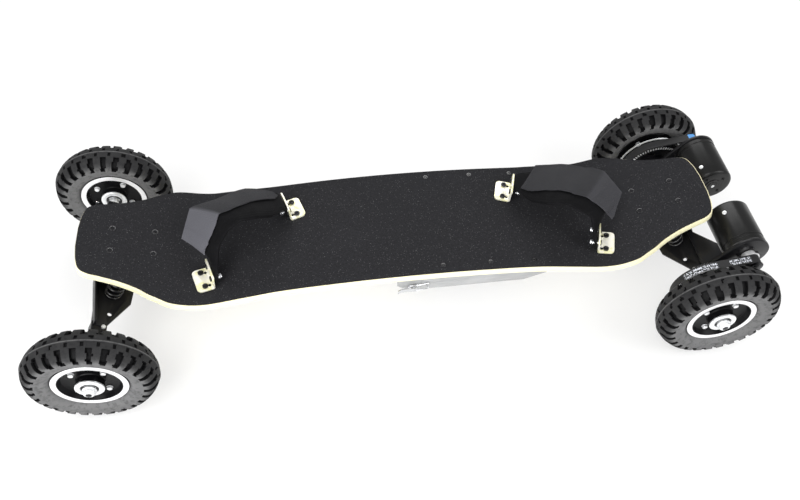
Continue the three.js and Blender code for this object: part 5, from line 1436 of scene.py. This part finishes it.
# The band's edges over the pad, as places on the strap (how far along it, how far across): each row
# has its ankle place and its toe place. Corners are the rows where its toe edge turns.
BAND_ROWS = {-1: (
    ((0.168, 0.61), (0.2, 1.35)), ((0.24, 0.25), (0.212, 1.35)), ((0.304, 0.23), (0.272, 1.05)),
    ((0.372, 0.25), (0.324, 1.03)), ((0.436, 0.41), (0.372, 1.05)), ((0.496, 0.33), (0.5, 0.97)),
    ((0.576, 0.41), (0.572, 1.05)), ((0.644, 0.49), (0.688, 1.05)), ((0.74, 0.59), (0.8, 0.95)),
    ((0.8, 0.59), (0.836, 0.73)),
), 1: (
    ((0.196, 0.75), (0.204, 0.91)), ((0.204, 0.75), (0.232, 0.93)), ((0.212, 0.73), (0.24, 1.17)),
    ((0.252, 0.45), (0.248, 1.35)), ((0.288, 0.39), (0.272, 1.43)), ((0.32, 0.35), (0.316, 1.23)),
    ((0.352, 0.31), (0.364, 1.09)), ((0.376, 0.29), (0.404, 1.09)), ((0.404, 0.29), (0.44, 1.15)),
    ((0.492, 0.21), (0.524, 1.03)), ((0.58, 0.29), (0.596, 1.09)), ((0.66, 0.29), (0.676, 1.09)),
    ((0.82, 0.19), (0.748, 1.11)),
)}
BAND_SHIFTS = {-1: ((0, 0, 0), (-9, -7, -3.6)), 1: ((9.4, -7.8, -1.4), (8.3, -8.4, -2.5))}
BAND_CORNERS = {-1: (0, 4), 1: (0, 4, 8)}
BAND_CREASE = {-1: 4, 1: 8}
# How much paler the band's panel before its fold is painted, as painted light, at each end.
BAND_PANEL_LIGHT = {-1: 0.85, 1: 0.2}
STEPS_PER_ROW = 6
BAND_SHARES = [i / 30 for i in range(31)]
BAND_THICKNESS = 1.7


class Stand:
    """Where a bracket stands, with its own frame: towards the foot, along its fold, and up."""

    def __init__(self, end, outer):
        self.end = end
        x = end * (BINDING_MIDDLE + outer * SPAN_X / 2) + BINDING_OFFSET
        y = BINDING_SIDE - outer * SPAN_Y / 2
        inward = -outer * end
        lean = math.atan(math.copysign(1, x) * deck_slope(x))
        self.up = Vector((-math.sin(lean), 0, math.cos(lean)))
        foot = Vector((inward * math.cos(BRACKET_YAW), -inward * end * math.sin(BRACKET_YAW), 0))
        self.foot = (foot - self.up * foot.dot(self.up)).normalized()
        along = self.up.cross(self.foot)
        self.along = along if along.y > 0 else -along
        self.origin = Vector((x, y, grip_top(x)))
        corners = [self.origin + self.foot * u * FOOT_REACH + self.along * v * BRACKET_HALF_WIDTH
                   for u in (-1, 1) for v in (-1, 1)]
        rise = max([0.0] + [grip_top(c.x) - c.z for c in corners])
        self.origin += self.up * (rise + 2 * SEAT_GAP)

    def matrix(self):
        put = Matrix((self.foot, self.along, self.up)).transposed().to_4x4()
        put.translation = self.origin * MM
        return put


def strap_bracket():
    """One folded plate: a foot on the tape and a leg against the strap, with rounded corners."""
    inner_fold, outer_fold = 1.6, 3.6
    inner_face, half = FOOT_REACH - BRACKET_SHEET, BRACKET_HALF_WIDTH

    def fold(reach, floor, radius, steps):
        quarter = math.pi / 2
        return arc(reach - radius, floor + radius, radius, -quarter, 0, steps)
    section = [(-FOOT_REACH, 0), *fold(FOOT_REACH, 0, outer_fold, 7), (FOOT_REACH, LEG_HEIGHT),
               (inner_face, LEG_HEIGHT), *reversed(fold(inner_face, BRACKET_SHEET, inner_fold, 5)),
               (-FOOT_REACH, BRACKET_SHEET)]
    folded = plate(section, -half, half, 0, "Y")
    shape = edit(folded)
    bpy.ops.mesh.select_mode(type="EDGE")
    for edge in shape.edges:
        a, b = (v.co / MM for v in edge.verts)
        corner = abs(abs(a.y) - half) < 0.01 and abs(a.y - b.y) < 0.01
        thick = abs((a - b).length - BRACKET_SHEET) < 0.01
        at_foot = max(a.x, b.x) < 0.1 - FOOT_REACH
        at_head = min(a.z, b.z) > LEG_HEIGHT - 0.1
        if corner and thick and (at_foot or at_head):
            edge.select_set(True)
    bmesh.update_edit_mesh(folded.data)
    bpy.ops.mesh.bevel(offset=7 * MM, segments=6, affect="EDGES")
    bpy.ops.mesh.select_mode(type="VERT")
    close(folded)
    keyholes = [bar((6.8, v, -3), (6.8, v, 6), 2.9, 24, 0) for v in (-12.6, 12.6)]
    peephole = bar((8, 0, 23.4), (16, 0, 23.4), 1.7, 20, 0)
    return eased(pierced(folded, *keyholes, peephole), 0.35, 2, 50)


def bracket_screws():
    parts = []
    for v in (-FOOT_SCREW_Y, FOOT_SCREW_Y):
        parts.append(socket_screw((0, v, BRACKET_SHEET), (0, 0, 1), 4.6, 2.6, 0.48, 0.7))
        parts.append(bar((0, v, -13), (0, v, BRACKET_SHEET + 0.3), 2.5, 20, 0.2))
    for v in (-STRAP_BOLT_Y, STRAP_BOLT_Y):
        place = (FOOT_REACH - BRACKET_SHEET, v, STRAP_BOLT_HEIGHT)
        parts.append(socket_screw(place, (-1, 0, 0), 4.4, 2.4, 0.48, 0.7))
    return together(*parts)


def bracket_nuts():
    z, parts = STRAP_BOLT_HEIGHT, []
    for v in (-STRAP_BOLT_Y, STRAP_BOLT_Y):
        parts.append(bar((10, v, z), (24.4 + TAB_LEAN, v, z), 2.6, 20, 0.3))
        parts.append(hex_nut((20.1 + TAB_LEAN, v, z), (24.1 + TAB_LEAN, v, z), 4.6, False))
    return together(*parts)


PAD_STATIONS = 72
PAD_CROWN = 12
PAD_SEAMS = ((0.055, 0.9), (0.125, 1.0), (0.20, 0.8), (0.93, 0.9))
PAD_SHARES = [(1 - math.cos(math.pi * i / 36)) / 2 for i in range(37)]


def strap_edges(end):
    near, far = Stand(end, 1), Stand(end, -1)

    def tab(stand, side, height, lean):
        return (stand.origin + stand.foot * (FOOT_REACH + SEAT_GAP + lean) + stand.along * side * 19
                + stand.up * height)
    foot, head = (7.8, 0), (LEG_HEIGHT + SEAT_GAP, TAB_LEAN)
    curves = []
    for edge, side in enumerate((-1, 1)):
        spots = [tab(near, side, *foot), tab(near, side, *head)]
        for row in ARCH[end]:
            a, b, rise = row[edge]
            x = end * (BINDING_MIDDLE + a * SPAN_X) + BINDING_OFFSET
            spots.append(Vector((x, BINDING_SIDE + b * SPAN_Y, grip_top(x) + rise * 100)))
        spots += [tab(far, side, *head), tab(far, side, *foot)]
        curves.append(smooth_curve(spots, 0.75))
    return curves


def strap_frame(end, curves, run):
    """The ankle edge's place, the way across to the toe edge, and the way in towards the foot."""
    ankle, toe = (curve(run) for curve in curves)
    across = toe - ankle
    step = 1e-3
    low, high = max(0, run - step), min(1, run + step)
    along = sum(((c(high) - c(low)).normalized() for c in curves), Vector())
    inward = along.cross(across).normalized() * end
    return ankle, across, inward


def map_cloth(obj, places):
    """Gives a piece a map in metres, from each vertex's place along and across the cloth."""
    layer = obj.data.uv_layers.new(name="cloth")
    for loop in obj.data.loops:
        layer.data[loop.index].uv = places[loop.vertex_index]


def strap_pad(end):
    """The soft strap: rolled edges, sewn channels along its edges, and a crowned middle."""
    curves = strap_edges(end)
    inner_shares = PAD_SHARES[-2:0:-1]
    rings, places = [], []
    length, last = 0.0, None
    for i in range(PAD_STATIONS + 1):
        run = i / PAD_STATIONS
        ankle, across, inward = strap_frame(end, curves, run)
        middle = ankle + across * 0.5
        length += (middle - last).length if last else 0.0
        last = middle
        swell = math.sin(math.pi * run) ** 2
        thick = 6 + 2 * swell
        fade = min(1, min(run, 1 - run) * 9)

        def core(share):
            crown = PAD_CROWN * share * (1 - share) * swell
            return ankle + across * share + inward * (thick / 2 - crown)

        def depth(share):
            lip = (1 - abs(2 * share - 1) ** 9) ** (1 / 3)
            groove = sum(size * math.exp(-((share - spot) / 0.012) ** 2)
                         for spot, size in PAD_SEAMS)
            puff = 0.125 * math.sin(math.pi * share) * math.sin(run * 41 + share * 7)
            half = thick / 2 * lip + (puff - groove * 0.9) * fade * lip
            return half * (1 - 0.18 * (1 - fade))
        rings.append([core(share) - inward * depth(share) for share in PAD_SHARES]
                     + [core(share) + inward * depth(share) * 0.92 for share in inner_shares])
        for share in [*PAD_SHARES, *(2 - share for share in inner_shares)]:
            places.append((length * MM, share * across.length * MM))
    pad = lofted(rings)
    map_cloth(pad, [places[ring * len(rings[0]) + j] for ring, j in rings_of(pad, rings)])
    return pad


def band_rows(end):
    """Rows of places on the band's inner face, each from its ankle edge to its toe edge."""
    curves = strap_edges(end)

    def on_pad(run, share):
        ankle, across, inward = strap_frame(end, curves, run)
        held = min(max(share, 0), 1)
        lift = 1.9 + PAD_CROWN * held * (1 - held) * math.sin(math.pi * run) ** 2
        wave = 0.5 * math.sin(run * 26 + share * 3.2) * math.sin(math.pi * held)
        return ankle + across * share - inward * (lift + wave)
    rows, corners = BAND_ROWS[end], BAND_CORNERS[end]
    ankle_shift, toe_shift = (Vector(away) for away in BAND_SHIFTS[end])
    toe_line = {i: on_pad(*rows[i][1]) + (toe_shift if i == 0 else Vector()) for i in corners}
    found = []
    for step in range(STEPS_PER_ROW * (len(rows) - 1) + 1):
        spot = step / STEPS_PER_ROW
        i = min(int(spot), len(rows) - 2)
        ankle_side, toe_side = (Vector(a).lerp(Vector(b), spot - i)
                                for a, b in zip(rows[i], rows[i + 1]))
        pull = Vector()
        for a, b in zip(corners, corners[1:]):
            if a <= spot <= b:
                pull = toe_line[a].lerp(toe_line[b], (spot - a) / (b - a)) - on_pad(*toe_side)
        hang = ankle_shift * max(0, 1 - spot / 2)
        found.append([on_pad(*ankle_side.lerp(toe_side, q)) + hang.lerp(pull, q)
                      for q in BAND_SHARES])
    return found


def strap_band(end):
    """The woven band over the pad, with its greatest width, its length and its area in metres."""
    rows = band_rows(end)
    across, middle = len(BAND_SHARES) - 1, len(BAND_SHARES) // 2
    bpy.ops.mesh.primitive_grid_add(x_subdivisions=len(rows) - 1, y_subdivisions=across, size=2)
    band = bpy.context.object
    lengths = [0.0]
    for a, b in zip(rows, rows[1:]):
        lengths.append(lengths[-1] + (b[middle] - a[middle]).length)
    widths = [(row[-1] - row[0]).length for row in rows]
    places = []
    for vertex in band.data.vertices:
        i = round((vertex.co.x + 1) / 2 * (len(rows) - 1))
        j = round((vertex.co.y + 1) / 2 * across)
        vertex.co = rows[i][j] * MM
        places.append((lengths[i] * MM, BAND_SHARES[j] * widths[i] * MM))
    map_cloth(band, places)
    area = sum(face.area for face in band.data.polygons)
    # The panel before the fold row carries painted light, stronger at the nose.
    faded = band.data.attributes.new("faded", "FLOAT", "POINT")
    crease = lengths[STEPS_PER_ROW * BAND_CREASE[end]]
    for i, (along, _) in enumerate(places):
        faded.data[i].value = BAND_PANEL_LIGHT[end] * min(1, max(0, 0.5 + (crease - along / MM) / 3))
    bpy.context.view_layer.update()
    core = Vector((end * BINDING_MIDDLE, BINDING_SIDE, 200)) * MM
    if sum(face.normal.dot(face.center - core) for face in band.data.polygons) < 0:
        edit(band)
        bpy.ops.mesh.select_all(action="SELECT")
        bpy.ops.mesh.flip_normals()
        close(band)
    modified(band, "SOLIDIFY", thickness=BAND_THICKNESS * MM, offset=1, use_even_offset=True)
    return eased(band, 0.5, 2, 50), max(widths) * MM, lengths[-1] * MM, area


def add_bindings():
    for end, ex in ENDS.items():
        for side, outer in (("near", 1), ("far", -1)):
            place = Stand(ex, outer).matrix()
            tag = f"{end}_{side}"
            lay_all(place, tag,
                    (strap_bracket, "zinc_bracket", "board", "yellow_zinc", ZINC,
                     f"strap_bracket_{tag}"),
                    (bracket_screws, "bracket_screws", "board", "dark_steel", DARK_STEEL, None),
                    (bracket_nuts, "strap_nuts", "board", "bright_steel", STEEL, None))
        pad = laid_in(strap_pad(ex), f"foot_pad_{end}", "board", "strap_padding", PAD_CLOTH,
                      f"strap_pad_{end}", angle=50)
        band, width, length, area = strap_band(ex)
        laid_in(band, f"woven_band_{end}", "board", "strap_weave", BAND_WEAVE, f"strap_band_{end}",
                angle=50)
        min(area, width * length)


# ---------------------------------------------------------------- battery case
CASE_WALL = 85
CASE_TOP = 143.81
BUTTON_X = 176
PORT_X = 148


def frame_object(node):
    return next(o for o in bpy.context.scene.objects if o.get("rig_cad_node") and o.name == node)


def reskinned(*rows):
    """Lays in copies of CAD solids, with their facets joined into faces and their edges rounded."""
    for node, edge, name, body, slot, finish in rows:
        twin = another(frame_object(node))
        twin.hide_render = twin.hide_viewport = False
        for key in list(twin.keys()):
            del twin[key]
        edit(twin)
        bpy.ops.mesh.select_all(action="SELECT")
        bpy.ops.mesh.remove_doubles(threshold=1e-5)
        bpy.ops.mesh.dissolve_limited(angle_limit=math.radians(0.5))
        laid_in(eased(close(twin), edge, 2, 30), name, body, slot, finish, node)


def add_case():
    reskinned(("battery_case", 0.9, "case_trough", "board", "case_skin", CASE_PAINT),
              ("case_end_cap", 0.8, "case_cap", "board", "case_skin", CASE_PAINT))
    button_place, port_place = ((x, CASE_WALL, CASE_TOP - 18) for x in (BUTTON_X, PORT_X))
    bezel = turned([(6.3, -5), (7.2, -5), (7.2, 0.3), (9.4, 0.3), (10, 0.8), (9.6, 1.7), (8.8, 2.0),
                    (6.6, 2.0), (6.3, 1.7)], 48, True, button_place)
    laid_in(bezel, "bezel_ring", "board", "dark_steel", DARK_STEEL, "button_bezel")
    button = turned([(0, -8), (3.5, -8), (3.5, -2.5), (6, -2.5), (6, 2.1), (5.6, 2.6), (3.6, 2.6),
                     (3.2, 2.2), (0, 2.2)], 48, False, button_place)
    laid_in(button, "push_button", "button", "bright_steel", STEEL, "power_button")
    port = turned([(4.5, -2.8), (4.5, 2.2), (9.1, 2.2), (10, 1.5), (10.2, 0.3), (8, 0.3), (8, -10),
                   (2.5, -10), (2.5, -2.8)], 48, True, port_place)
    laid_in(port, "charge_socket", "board", "black_plastic", PORT_PLASTIC, "charge_port")


def add_latch():
    reskinned(("latch_base", 0.2, "latch_foot", "board", "bright_steel", STEEL),
              ("latch_lever", 0.25, "latch_handle", "lever", "bright_steel", STEEL),
              ("latch_loop", 0.15, "latch_wire", "loop", "bright_steel", STEEL))


def dress_hidden():
    """Better materials for the CAD solids that stay as they are."""
    for name, finish in (("battery_pack", PACK_WRAP), ("motor_controller", CONTROLLER),
                         *((f"wheel_bearings_{e}_{s}", STEEL) for e in ENDS for s in SIDES)):
        node = frame_object(name)
        node.data.materials.clear()
        node.data.materials.append(finish)


add_deck()
add_wheels()
add_axles()
add_trucks()
add_drive()
add_bindings()
add_case()
add_latch()
dress_hidden()
